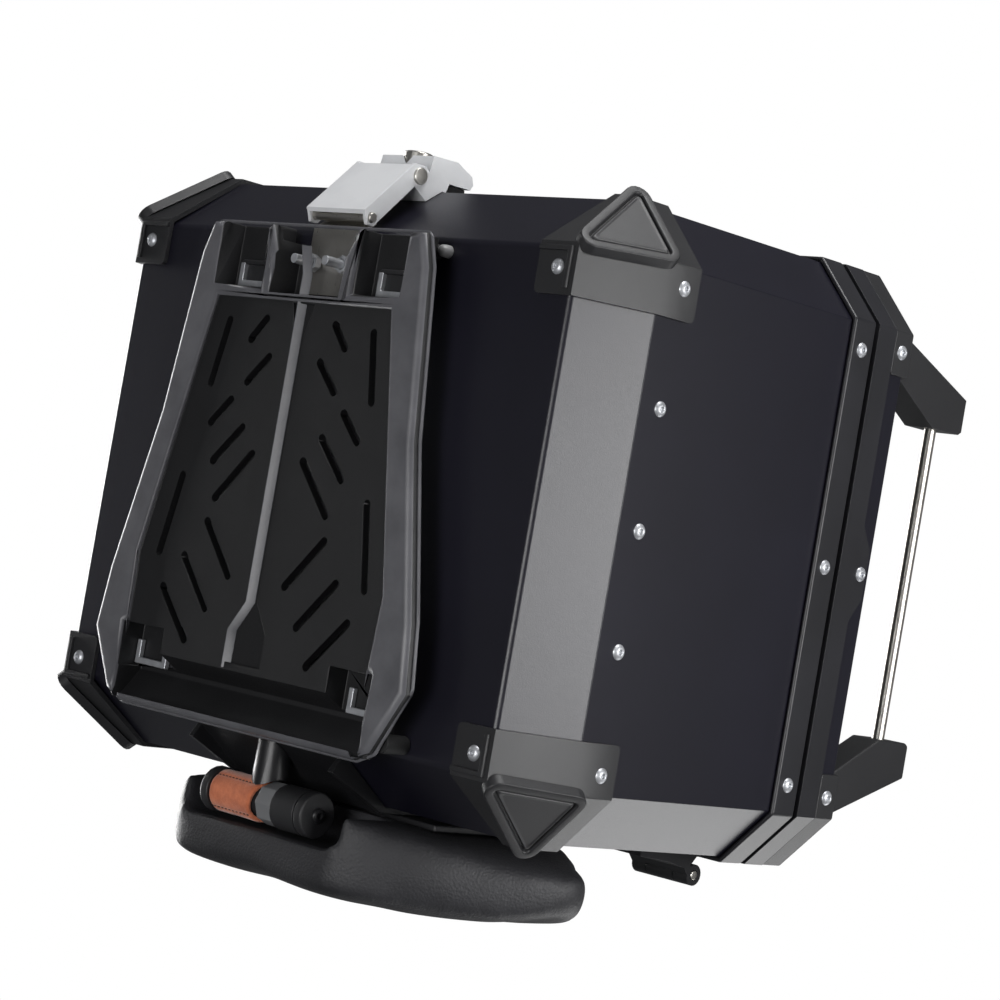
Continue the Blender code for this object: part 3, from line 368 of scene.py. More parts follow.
def ease(
    mesh: bmesh.types.BMesh,
    width: float,
    segments: int = 2,
    least: float = EASED,
    chosen: Callable[[bmesh.types.BMEdge], bool] | None = None,
    clamped: bool = True,
) -> None:
    """Rounds the edges that turn more than an angle.

    Args:
        mesh: the shape to round.
        width: how far each round reaches.
        segments: faces across each round.
        least: smallest turn that is rounded.
        chosen: test that an edge has to pass, or None for all.
        clamped: whether a round stops where it meets the next one.
    """
    edges = [e for e in mesh.edges if e.is_manifold and e.calc_face_angle(0) > least]
    bmesh.ops.bevel(
        mesh, geom=[e for e in edges if not chosen or chosen(e)], offset=width, offset_type="OFFSET",
        affect="EDGES", segments=segments, profile=0.5, material=-1, clamp_overlap=clamped, loop_slide=True,
    )


@dataclass(frozen=True)
class Eased:
    """A stiff node that is shown as a copy with rounded edges."""

    node: str
    body: Body
    finish: Finish
    width_mm: float = 0.8
    segments: int = 2
    corner_mm: float = 0.0
    sheet_mm: float = 3.0

    def build(self, frame: dict, dressing: Dressing) -> None:
        """Makes the copy and hides the node.

        Args:
            frame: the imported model.
            dressing: the finished materials.
        """
        mesh = merged_copy(self.node, frame)
        if self.corner_mm:
            self.round_corners(mesh)
        ease(mesh, self.width_mm * MM, self.segments)
        made = dressing.piece(f"{self.node}_shown", mesh, self.finish, self.body)
        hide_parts(self.node)

    def round_corners(self, mesh: bmesh.types.BMesh) -> None:
        """Rounds a sheet's outline, at the sharp turns of edges about as long as the sheet is thick.

        Args:
            mesh: the sheet.
        """
        low, high = 0.9 * self.sheet_mm * MM, 1.25 * self.sheet_mm * MM
        ease(mesh, self.corner_mm * MM, 3, math.radians(60), lambda e: low < e.calc_length() < high, False)


def turned(profile: list[tuple[float, float]], steps: int) -> bmesh.types.BMesh:
    """Spins a profile round Z into a closed solid.

    Args:
        profile: radius and height of each point, from axis to axis.
        steps: sides of the circle.

    Returns:
        The solid.
    """
    mesh = bmesh.new()
    verts = [mesh.verts.new((radius, 0, height)) for radius, height in profile]
    edges = [mesh.edges.new(pair) for pair in zip(verts, verts[1:])]
    bmesh.ops.spin(
        mesh, geom=verts + edges, cent=(0, 0, 0), axis=UP, angle=2 * math.pi, steps=steps, use_merge=True
    )
    bmesh.ops.remove_doubles(mesh, verts=mesh.verts, dist=WELD)
    bmesh.ops.recalc_face_normals(mesh, faces=mesh.faces)
    return mesh


def skin(mesh: bmesh.types.BMesh, rings: list[list[Vector]], closed: bool = False) -> None:
    """Joins outlines one after another, point to point, and caps the ends or joins them.

    Bridging by operator pairs the points by distance, which twists these narrow steps.

    Args:
        mesh: the shape that the skin is added to.
        rings: the outlines' points, as many in each.
        closed: whether the last outline is joined to the first.
    """
    loops = [[mesh.verts.new(point) for point in ring] for ring in rings]
    pairs = list(zip(loops, loops[1:]))
    if closed:
        pairs.append((loops[-1], loops[0]))
    else:
        mesh.faces.new(loops[0])
        mesh.faces.new(loops[-1])
    for first, second in pairs:
        for i, vert in enumerate(first):
            mesh.faces.new((first[i - 1], vert, second[i], second[i - 1]))
    bmesh.ops.recalc_face_normals(mesh, faces=mesh.faces)


def towards(direction: Vector) -> Matrix:
    """A turn that takes +Z to the direction."""
    return direction.to_track_quat("Z", "Y").to_matrix().to_4x4()


def join(into: bmesh.types.BMesh, part: bmesh.types.BMesh, place: Matrix) -> None:
    """Adds a placed copy of one shape to another.

    Args:
        into: the shape that grows.
        part: the shape that is copied.
        place: where the copy goes.
    """
    data = bpy.data.meshes.new("part")
    part.to_mesh(data)
    data.transform(place)
    into.from_mesh(data)
    bpy.data.meshes.remove(data)


@dataclass
class Rivets:
    """Blind rivets with a ringed button head and a socket where the stem broke off."""

    radius: float = 4.6 * MM
    height: float = 2.1 * MM
    steps: int = 20

    def head(self) -> bmesh.types.BMesh:
        """Turns one rivet's head.

        Returns:
            The head, standing on z = 0.
        """
        r, h = self.radius, self.height
        profile = [
            (0, h * 0.35), (r * 0.26, h * 0.35), (r * 0.30, h * 0.82), (r * 0.42, h), (r * 0.62, h * 0.92),
            (r * 0.84, h * 0.55), (r * 0.97, h * 0.22), (r, 0.0), (r * 0.9, -h * 0.2), (0, -h * 0.2),
        ]  # fmt: skip
        return turned(profile, self.steps)

    def build(self, name: str, spots: list[tuple[Vector, Vector]], body: Body, dressing: Dressing) -> None:
        """Sets a head at each spot, as one piece.

        Args:
            name: the piece's name.
            spots: each rivet's place and the way that it faces.
            body: the rigid group that they sit on.
            dressing: the finished materials.
        """
        head, row = self.head(), bmesh.new()
        for place, out in spots:
            join(row, head, Matrix.Translation(place) @ towards(out))
        head.free()
        dressing.piece(name, row, ZINC, body)


@dataclass(frozen=True)
class Case:
    """Where the case stands: the middle of its flat bottom, read from the frame."""

    middle_y: float
    bottom: float

    @classmethod
    def measure(cls) -> Case:
        """Reads the place from the tray's box."""
        low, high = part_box("bottom_tray")
        return cls((low[1] + high[1]) / 2, low[2])

    def at(self, x: float, y: float, z: float) -> Vector:
        """A point given from the middle of the case's bottom, in millimetres."""
        return Vector((x * MM, y * MM + self.middle_y, z * MM + self.bottom))


@dataclass
class TrayShown:
    """The bottom tray, with its folds bent to a radius instead of sharp."""

    fold: float = 2.6 * MM
    lip: float = 0.5 * MM
    lip_band: float = 3.0 * MM
    clipped: float = 2.4 * MM
    seam: float = 51.0 * MM
    level: float = 0.2 * MM
    least_fold: float = math.radians(10)

    def build(self, frame: dict, dressing: Dressing, case: Case) -> None:
        """Joins the floor's clipped corners, then rounds the folds and the lip.

        Args:
            frame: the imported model.
            dressing: the finished materials.
            case: where the case stands.
        """
        mesh = merged_copy("bottom_tray", frame)
        floor = [v for v in mesh.verts if abs(v.co.z - case.bottom) < self.level]
        bmesh.ops.remove_doubles(mesh, verts=floor, dist=self.clipped)
        seam = case.bottom + self.seam

        def is_fold(edge: bmesh.types.BMEdge) -> bool:
            """Tells an edge that starts on the floor and ends below the seam."""
            low, high = sorted(v.co.z for v in edge.verts)
            return abs(low - case.bottom) < 2 * self.level and high < seam

        ease(mesh, self.fold, 3, self.least_fold, is_fold)
        ease(mesh, self.lip, 2, EASED, lambda e: min(v.co.z for v in e.verts) > seam - self.lip_band)
        made = dressing.piece("bottom_tray_shown", mesh, POWDER, Body.CASE)
        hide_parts("bottom_tray")


@dataclass
class PlateShown:
    """The base plate, its outer edge rolled and its inner edges eased as moulded."""

    rolled: float = 5.0 * MM
    mouth: float = 2.6 * MM
    eased: float = 0.6 * MM
    lower: float = 0.4 * MM
    long: float = 2.0 * MM
    shortest: float = 2.2 * MM
    painted_highlight_below: float = 2.4 * MM

    def build(self, frame: dict, dressing: Dressing) -> None:
        """Rounds the long edges of the frame and field; the short ones stay crisp.

        Where a round meets a short wall it runs past the plate, so it is brought back to the box.

        Args:
            frame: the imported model.
            dressing: the finished materials.
        """
        mesh = merged_copy("base_plate", frame)
        for reach, outer in ((self.rolled, True), (self.mouth, False)):

            def is_frame(edge: bmesh.types.BMEdge, outer: bool = outer) -> bool:
                """Tells a long edge round the frame's lower face, on its outside or its mouth."""
                low = max(v.co.z for v in edge.verts) < self.lower
                return low and self.on_outside(edge) == outer and edge.calc_length() > self.long

            ease(mesh, reach, 4, EASED, is_frame, False)
        ease(mesh, self.eased, 2, EASED, lambda e: e.calc_length() > self.shortest, False)
        low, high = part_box("base_plate")
        for vert in mesh.verts:
            vert.co = [min(max(place, least), most) for place, least, most in zip(vert.co, low, high)]
        made = dressing.piece("base_plate_shown", mesh, PLATE, Body.CASE)
        # The faces low on the plate's frame take the paler copy of its resin: a painted highlight.
        made.data.materials.append(dressing.material(PAINTED_HIGHLIGHT))
        for face in made.data.polygons:
            face.material_index = int(face.center.z < self.painted_highlight_below)
        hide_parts("base_plate")

    @staticmethod
    def on_outside(edge: bmesh.types.BMEdge) -> bool:
        """Tells an edge of the plate's outline from one of its field or pockets.

        Args:
            edge: an edge of the plate's lower face.

        Returns:
            Whether the edge's wall faces away from the plate's middle.
        """
        wall = max(edge.link_faces, key=lambda f: -abs(f.normal.z))
        away = (edge.verts[0].co + edge.verts[1].co) / 2
        return wall.normal.x * away.x + wall.normal.y * away.y > 0


def corners_of(node: str) -> tuple[Vector, Vector]:
    """A node's lowest and highest corners."""
    low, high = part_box(node)
    return Vector(low), Vector(high)


@dataclass(frozen=True)
class Round:
    """A round steel bar or pin, shown with a true circle and eased ends."""

    node: str
    body: Body
    axis: int
    end: float = 0.6 * MM
    steps: int = 40

    def build(self, dressing: Dressing) -> None:
        """Spins the bar to the node's box.

        Args:
            dressing: the finished materials.
        """
        low, high = corners_of(self.node)
        size = high - low
        half = size[self.axis] / 2
        radius = max(size[i] for i in range(3) if i != self.axis) / 2
        soft = min(self.end, radius * 0.6)
        part = soft * 0.3
        upper = [(radius, half - soft), (radius - part, half - part), (radius - soft, half), (0, half)]
        mesh = turned([(r, -h) for r, h in reversed(upper)] + upper, self.steps)
        along = Vector([float(i == self.axis) for i in range(3)])
        place = Matrix.Translation((low + high) / 2) @ towards(along)
        bmesh.ops.transform(mesh, matrix=place, verts=mesh.verts)
        made = dressing.piece(f"{self.node}_shown", mesh, STEEL, self.body)
        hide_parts(self.node)


@dataclass
class LockFace:
    """A lock's barrel, with a raised ring and the key's slit in its face."""

    node: str
    body: Body
    steps: int = 40
    slit_half: float = 0.7 * MM
    slit_deep: float = 0.5 * MM
    slit_share: float = 0.95
    slit_in: float = 0.75 * MM

    def section(self, radius: float, length: float) -> list[tuple[float, float]]:
        """The barrel's half outline, from the middle of its sunk face to its back.

        Args:
            radius: the barrel's radius.
            length: how far its ring stands over its back.

        Returns:
            Radius and height of each point.
        """
        return [
            (0, length - 0.9 * MM), (radius * 0.62, length - 0.9 * MM), (radius * 0.66, length - 0.1 * MM),
            (radius * 0.82, length), (radius * 0.96, length - 0.5 * MM), (radius, length - 1.1 * MM),
            (radius, 0.4 * MM), (radius - 0.4 * MM, 0), (0, 0),
        ]  # fmt: skip

    def build(self, dressing: Dressing) -> None:
        """Spins the barrel along Y and sets the dark slit into its outer face.

        Args:
            dressing: the finished materials.
        """
        low, high = corners_of(self.node)
        radius, length = (high.x - low.x) / 2, high.y - low.y
        middle = (low + high) / 2
        barrel = turned(self.section(radius, length), self.steps)
        place = Matrix.Translation((middle.x, high.y, middle.z)) @ towards(Vector((0, -1, 0)))
        bmesh.ops.transform(barrel, matrix=place, verts=barrel.verts)
        made = dressing.piece(f"{self.node}_shown", barrel, STEEL, self.body)
        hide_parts(self.node)
        # The key's slot is drawn as a dark block standing out of the face: painted shade for the slot's dark
        # inside.
        keyway_shade = bmesh.new()
        bmesh.ops.create_cube(keyway_shade, size=1)
        size = Matrix.Diagonal((2 * self.slit_half, self.slit_deep, radius * self.slit_share, 1))
        place = Matrix.Translation((middle.x, low.y + self.slit_in, middle.z)) @ size
        bmesh.ops.transform(keyway_shade, matrix=place, verts=keyway_shade.verts)
        dressing.piece(f"{self.node}_slit", keyway_shade, RUBBER, self.body)


def rounded(corners: list[Vector], radius: float, steps: int = 6) -> list[Vector]:
    """Rounds the corners of an outline.

    Args:
        corners: the outline's corners, in the plane.
        radius: the arcs' radius.
        steps: how many parts each arc is drawn in.

    Returns:
        The outline's points.
    """
    made = []
    for i, here in enumerate(corners):
        before = (corners[i - 1] - here).normalized()
        after = (corners[(i + 1) % len(corners)] - here).normalized()
        half = before.angle(after) / 2
        centre = here + (before + after).normalized() * radius / math.sin(half)
        start = here + before * radius / math.tan(half) - centre
        turn = start.angle_signed(here + after * radius / math.tan(half) - centre)
        for step in range(steps + 1):
            point = start.copy()
            point.rotate(Matrix.Rotation(-turn * step / steps, 2))
            made.append(centre + point)
    return made


@dataclass
class Badges:
    """The guards' rounded triangles: a flat rim, a groove inside it and a raised field.

    Each step of the section is how far in from the outline it lies and how high over the
    corner's slanting facet, in millimetres. So are the facet's own corners.
    """

    foot: tuple[float, float, float] = (192, 149, 0)
    side: tuple[float, float, float] = (210, 151, 50)
    end: tuple[float, float, float] = (178, 185, 50)
    grow: float = 1.42
    corner: float = 8.0
    least_corner: float = 1.5
    section: tuple[tuple[float, float], ...] = (
        (-0.2, 1.0), (-0.2, 6.9), (0.1, 7.5), (0.8, 7.9), (4.3, 7.9), (5.0, 7.6), (5.4, 7.0),
        (5.6, 5.7), (6.5, 5.6), (6.9, 6.4), (7.2, 7.1), (7.7, 7.3), (8.6, 7.0), (9.2, 6.9),
    )  # fmt: skip

    def build(self, case: Case, dressing: Dressing) -> None:
        """Sets a badge on each lower corner, as one piece.

        Args:
            case: where the case stands.
            dressing: the finished materials.
        """
        made = bmesh.new()
        for x in SIDES:
            for y in SIDES:
                skin(made, self.rings(x, y, case))
        dressing.piece("guard_badges", made, MOULDED, Body.CASE)

    def rings(self, x: int, y: int, case: Case) -> list[list[Vector]]:
        """Lays the section's steps over one corner's facet.

        Args:
            x: the corner's side, -1 on the left and 1 on the right.
            y: the corner's end, -1 at the rear and 1 in front.
            case: where the case stands.

        Returns:
            The triangle's outline at each step.
        """
        facet = [case.at(x * p[0], y * p[1], p[2]) for p in (self.foot, self.side, self.end)]
        low, side, end = facet
        out = (side - low).cross(end - low).normalized()
        out *= math.copysign(1, out.dot(Vector((x, y, 0))))
        middle = (low + side + end) / 3
        across = (side - end).normalized()
        up = out.cross(across)
        corners = [(p - middle) * self.grow for p in facet]
        flat = [Vector((p.dot(across), p.dot(up))) for p in corners]
        lengths = [(flat[(i + 1) % 3] - flat[(i + 2) % 3]).length for i in range(3)]
        heart = sum((p * w for p, w in zip(flat, lengths)), Vector((0, 0))) / sum(lengths)
        area = abs((flat[1] - flat[0]).cross(flat[2] - flat[0])) / 2
        within = 2 * area / sum(lengths)
        rings = []
        for inset, height in self.section:
            scale = 1 - inset * MM / within
            shrunk = [heart + (p - heart) * scale for p in flat]
            ring = rounded(shrunk, max(self.corner - inset, self.least_corner) * MM)
            rings.append([middle + across * p.x + up * p.y + out * height * MM for p in ring])
        return rings


@dataclass
class PlateBead:
    """The thin rolled edge that runs round the plate, close to the case. Sizes are in millimetres."""

    radius: float = 1.1
    height: float = -20.2
    corner: float = 4.0
    over: float = 0.4
    sides: int = 10
    half: tuple[tuple[float, float], ...] = (
        (94, -148), (101, -128), (113.5, -28.5), (136.5, 70.5),
        (141.5, 109.0), (120.5, 148.5), (107.5, 154.5),
    )  # fmt: skip

    def build(self, case: Case, dressing: Dressing) -> None:
        """Sweeps a round section along the plate's outline.

        Args:
            case: where the case stands.
            dressing: the finished materials.
        """
        both = self.half + tuple((-x, y) for x, y in reversed(self.half))
        outline = rounded([Vector(p) for p in both], self.corner, 3)
        rings = []
        for i, here in enumerate(outline):
            along = (outline[(i + 1) % len(outline)] - outline[i - 1]).normalized()
            out = Vector((along.y, -along.x))
            ring = []
            for step in range(self.sides):
                turn = 2 * math.pi * step / self.sides
                away = out * (self.over + math.cos(turn) * self.radius)
                rise = math.sin(turn) * self.radius
                ring.append(case.at(here.x + away.x, here.y + away.y, self.height + rise))
            rings.append(ring)
        mesh = bmesh.new()
        skin(mesh, rings, closed=True)
        # The bead wears the paler copy of the plate's resin: a painted highlight along the edge.
        dressing.piece("plate_bead", mesh, PAINTED_HIGHLIGHT, Body.CASE)


@dataclass
class Sockets:
    """The rounded sockets on the rear pockets' floors, where hooks enter. Sizes are in millimetres."""

    across: float = 62.5
    along: float = -118.3
    half_x: float = 16.5
    half_y: float = 8.6
    floor: float = -8.7
    corner: float = 4.5
    least_corner: float = 1.2
    section: tuple[tuple[float, float], ...] = (
        (0, -0.3), (0, 2.8), (0.4, 3.5), (1.0, 3.8), (2.0, 3.8), (2.6, 3.5), (2.9, 2.9), (3.0, 0.9),
    )  # fmt: skip

    def build(self, case: Case, dressing: Dressing) -> None:
        """Skins the section over a rounded oblong in each pocket.

        Args:
            case: where the case stands.
            dressing: the finished materials.
        """
        made = bmesh.new()
        for x in SIDES:
            rings = []
            for inset, height in self.section:
                a, b = self.half_x - inset, self.half_y - inset
                oblong = [Vector((-a, -b)), Vector((a, -b)), Vector((a, b)), Vector((-a, b))]
                ring = rounded(oblong, max(self.corner - inset, self.least_corner))
                z = self.floor - height
                rings.append([case.at(x * self.across + p.x, self.along + p.y, z) for p in ring])
            skin(made, rings)
        dressing.piece("rear_sockets", made, MOULDED, Body.CASE)


@dataclass
class ChannelWall:
    """The bright sloping wall on the left of the plate's channel. Sizes are in millimetres."""

    field: float = -24.0
    edge: tuple[tuple[float, float], ...] = (
        (-9.5, -136.0), (-4.5, -119.0), (-4.5, 79.0), (-16.5, 97.0), (-16.5, 120.0),
    )  # fmt: skip
    section: tuple[tuple[float, float], ...] = (
        (-0.8, 0.0), (-0.6, -0.7), (0.2, -0.8), (4.2, 2.5), (4.2, 3.0), (-0.8, 3.0),
    )  # fmt: skip

    def build(self, case: Case, dressing: Dressing) -> None:
        """Runs the wedge's section along the channel's left edge.

        Args:
            case: where the case stands.
            dressing: the finished materials.
        """
        mesh = bmesh.new()
        skin(mesh, [[case.at(x + a, y, self.field + h) for a, h in self.section] for x, y in self.edge])
        # The wall wears the paler copy of the plate's resin: a painted highlight for the light that it
        # catches.
        dressing.piece("channel_wall", mesh, PAINTED_HIGHLIGHT, Body.CASE)


@dataclass
class Ledges:
    """The L-shaped ledge round the rivet on each lower guard's flap. Sizes are in millimetres."""

    corner_x: float = 191.0
    corner_y: float = 148.5
    reach_x: float = 25.0
    reach_y: float = 24.0
    width: float = 3.0
    flap: float = -3.0
    height: float = 2.5
    eased: float = 0.55

    def build(self, case: Case, dressing: Dressing) -> None:
        """Stands an L of moulded plastic on each flap.

        Args:
            case: where the case stands.
            dressing: the finished materials.
        """
        outline = [
            (0, 0), (self.reach_x, 0), (self.reach_x, self.width), (self.width, self.width),
            (self.width, self.reach_y), (0, self.reach_y),
        ]  # fmt: skip
        made = bmesh.new()
        for x in SIDES:
            for y in SIDES:
                part = bmesh.new()
                flat = [(x * (self.corner_x - a), y * (self.corner_y - b)) for a, b in outline]
                face = part.faces.new([part.verts.new(case.at(a, b, self.flap)) for a, b in flat])
                top = bmesh.ops.extrude_face_region(part, geom=[face])["geom"]
                moved = [v for v in top if isinstance(v, bmesh.types.BMVert)]
                bmesh.ops.translate(part, vec=-UP * self.height * MM, verts=moved)
                bmesh.ops.recalc_face_normals(part, faces=part.faces)
                ease(part, self.eased * MM)
                join(made, part, Matrix.Identity(4))
                part.free()
        dressing.piece("guard_ledges", made, MOULDED, Body.CASE)


@dataclass
class Stops:
    """Small rubber feet that the plate carries. Sizes are in millimetres."""

    base: float = -0.2
    steps: int = 24
    profile: tuple[tuple[float, float], ...] = (
        (0, 7.6), (2.0, 7.2), (3.3, 6.0), (3.8, 3.0), (3.8, 0), (0, 0),
    )  # fmt: skip

    def build(self, name: str, x: float, y: float, finish: Finish, case: Case, dressing: Dressing) -> None:
        """Sets a domed foot at a place and at its mirror place.

        Args:
            name: the piece's name.
            x: how far the feet stand from the middle.
            y: how far forward they stand.
            finish: their surface.
            case: where the case stands.
            dressing: the finished materials.
        """
        pair = bmesh.new()
        dome = turned([(radius * MM, height * MM) for radius, height in self.profile], self.steps)
        for side in SIDES:
            join(pair, dome, Matrix.Translation(case.at(side * x, y, self.base)) @ towards(-UP))
        dome.free()
        dressing.piece(name, pair, finish, Body.CASE)


@dataclass
class Wrap:
    """A suede strap folded round the grip, its two hems stitched along the grip."""

    steps: int = 96
    rows: int = 40
    thick: float = 2.6 * MM
    sunk: float = 0.35 * MM
    wave: float = 0.35 * MM
    waves_per_metre: float = 110
    waves_round: float = 2.0
    hem: float = math.radians(50)
    furrow: float = 0.6 * MM
    furrow_half: float = 0.8 * MM
    rolled: float = 1.0 * MM
    rolled_reach: float = 2.0 * MM
    bite: float = 8.0 * MM
    ragged: float = 0.8 * MM
    rags_round: float = 4.0
    stitch_pitch: float = 3.1 * MM
    stitch_half: float = 0.42 * MM
    stitch_sunk: float = 0.75 * MM
    stitch_margin: float = 1.5 * MM

    def build(self, dressing: Dressing) -> None:
        """Makes the strap with worn ends, then lays the stitches along its hems.

        Args:
            dressing: the finished materials.
        """
        low, high = corners_of("grip_wrap")
        axis = Vector((0, (low.y + high.y) / 2, (low.z + high.z) / 2))
        radius = (high.z - low.z) / 2
        rings = [
            [self.point(low.x, high.x, axis, radius, row / self.rows, step) for step in range(self.steps)]
            for row in range(self.rows + 1)
        ]
        for row in (self.rows, 0):
            middles = [Vector((p.x, axis.y, axis.z)) for p in rings[row]]
            outs = [(p - middle).normalized() for p, middle in zip(rings[row], middles)]
            rings.append([middle + out * (radius - self.thick) for middle, out in zip(middles, outs)])
        mesh = bmesh.new()
        skin(mesh, rings, closed=True)
        made = dressing.piece("grip_wrap_shown", mesh, SUEDE, Body.CASE)
        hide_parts("grip_wrap")
        self.stitch(low.x, high.x, axis, radius, dressing)

    def end(self, turn: float, high: float) -> float:
        """Finds where the strap's worn right end lies.

        Args:
            turn: angle round the grip, from the front.
            high: the strap's longest reach along X.

        Returns:
            The end's place along X.
        """
        down = 0.5 - 0.5 * math.sin(turn)
        spot = Vector((math.cos(turn) * self.rags_round, math.sin(turn) * self.rags_round, 7.0))
        slant = 0.65 + 0.35 * math.cos(turn)
        return high - self.bite * down * slant - abs(self.ragged * noise.noise(spot))

    def point(self, low: float, high: float, axis: Vector, radius: float, share: float, step: int) -> Vector:
        """Places a point of the outer skin: lumps, rolled ends and a furrow along each hem.

        Args:
            low: the strap's left end.
            high: its longest reach to the right.
            axis: a point on the grip's axis.
            radius: the strap's outer radius.
            share: how far along the strap the point lies, from 0 to 1.
            step: which of the steps round the grip it is.

        Returns:
            The point.
        """
        turn = 2 * math.pi * step / self.steps
        last = self.end(turn, high)
        x = low + (last - low) * share
        near = min(x - low, last - x)
        rolled = self.rolled * max(0.0, 1 - near / self.rolled_reach) ** 2
        round_y, round_z = math.cos(turn) * self.waves_round, math.sin(turn) * self.waves_round
        lump = self.wave * noise.noise(Vector((x * self.waves_per_metre, round_y, round_z)))
        from_down = math.atan2(math.cos(turn), -math.sin(turn))
        from_hem = (abs(from_down) - self.hem) * radius / self.furrow_half
        r = radius - self.sunk - rolled + lump - self.furrow * math.exp(-(from_hem**2))
        return Vector((x, axis.y + r * math.cos(turn), axis.z + r * math.sin(turn)))

    def stitch(self, low: float, high: float, axis: Vector, radius: float, dressing: Dressing) -> None:
        """Lays a row of stitches along each hem.

        Args:
            low: the strap's left end.
            high: its longest reach to the right.
            axis: a point on the grip's axis.
            radius: the strap's outer radius.
            dressing: the finished materials.
        """
        thread, made = bmesh.new(), bmesh.new()
        bmesh.ops.create_icosphere(thread, subdivisions=2, radius=1)
        shape = Matrix.Diagonal((0.36 * self.stitch_pitch, self.stitch_half, self.stitch_half, 1))
        for side in SIDES:
            out = Vector((0, side * math.sin(self.hem), -math.cos(self.hem)))
            length = self.end(math.atan2(out.z, out.y), high) - low - 2 * self.stitch_margin
            count = int(length / self.stitch_pitch)
            for i in range(count):
                x = low + self.stitch_margin + (i + 0.5) * length / count
                place = Vector((x, axis.y, axis.z)) + out * (radius - self.stitch_sunk)
                join(made, thread, Matrix.Translation(place) @ shape)
        thread.free()
        dressing.piece("grip_stitches", made, THREAD, Body.CASE)


def smooth(mesh: bmesh.types.BMesh, verts: list[bmesh.types.BMVert]) -> None:
    """Moves each point halfway to the middle of its neighbours."""
    bmesh.ops.smooth_vert(mesh, verts=verts, factor=0.5, use_axis_x=True, use_axis_y=True, use_axis_z=True)


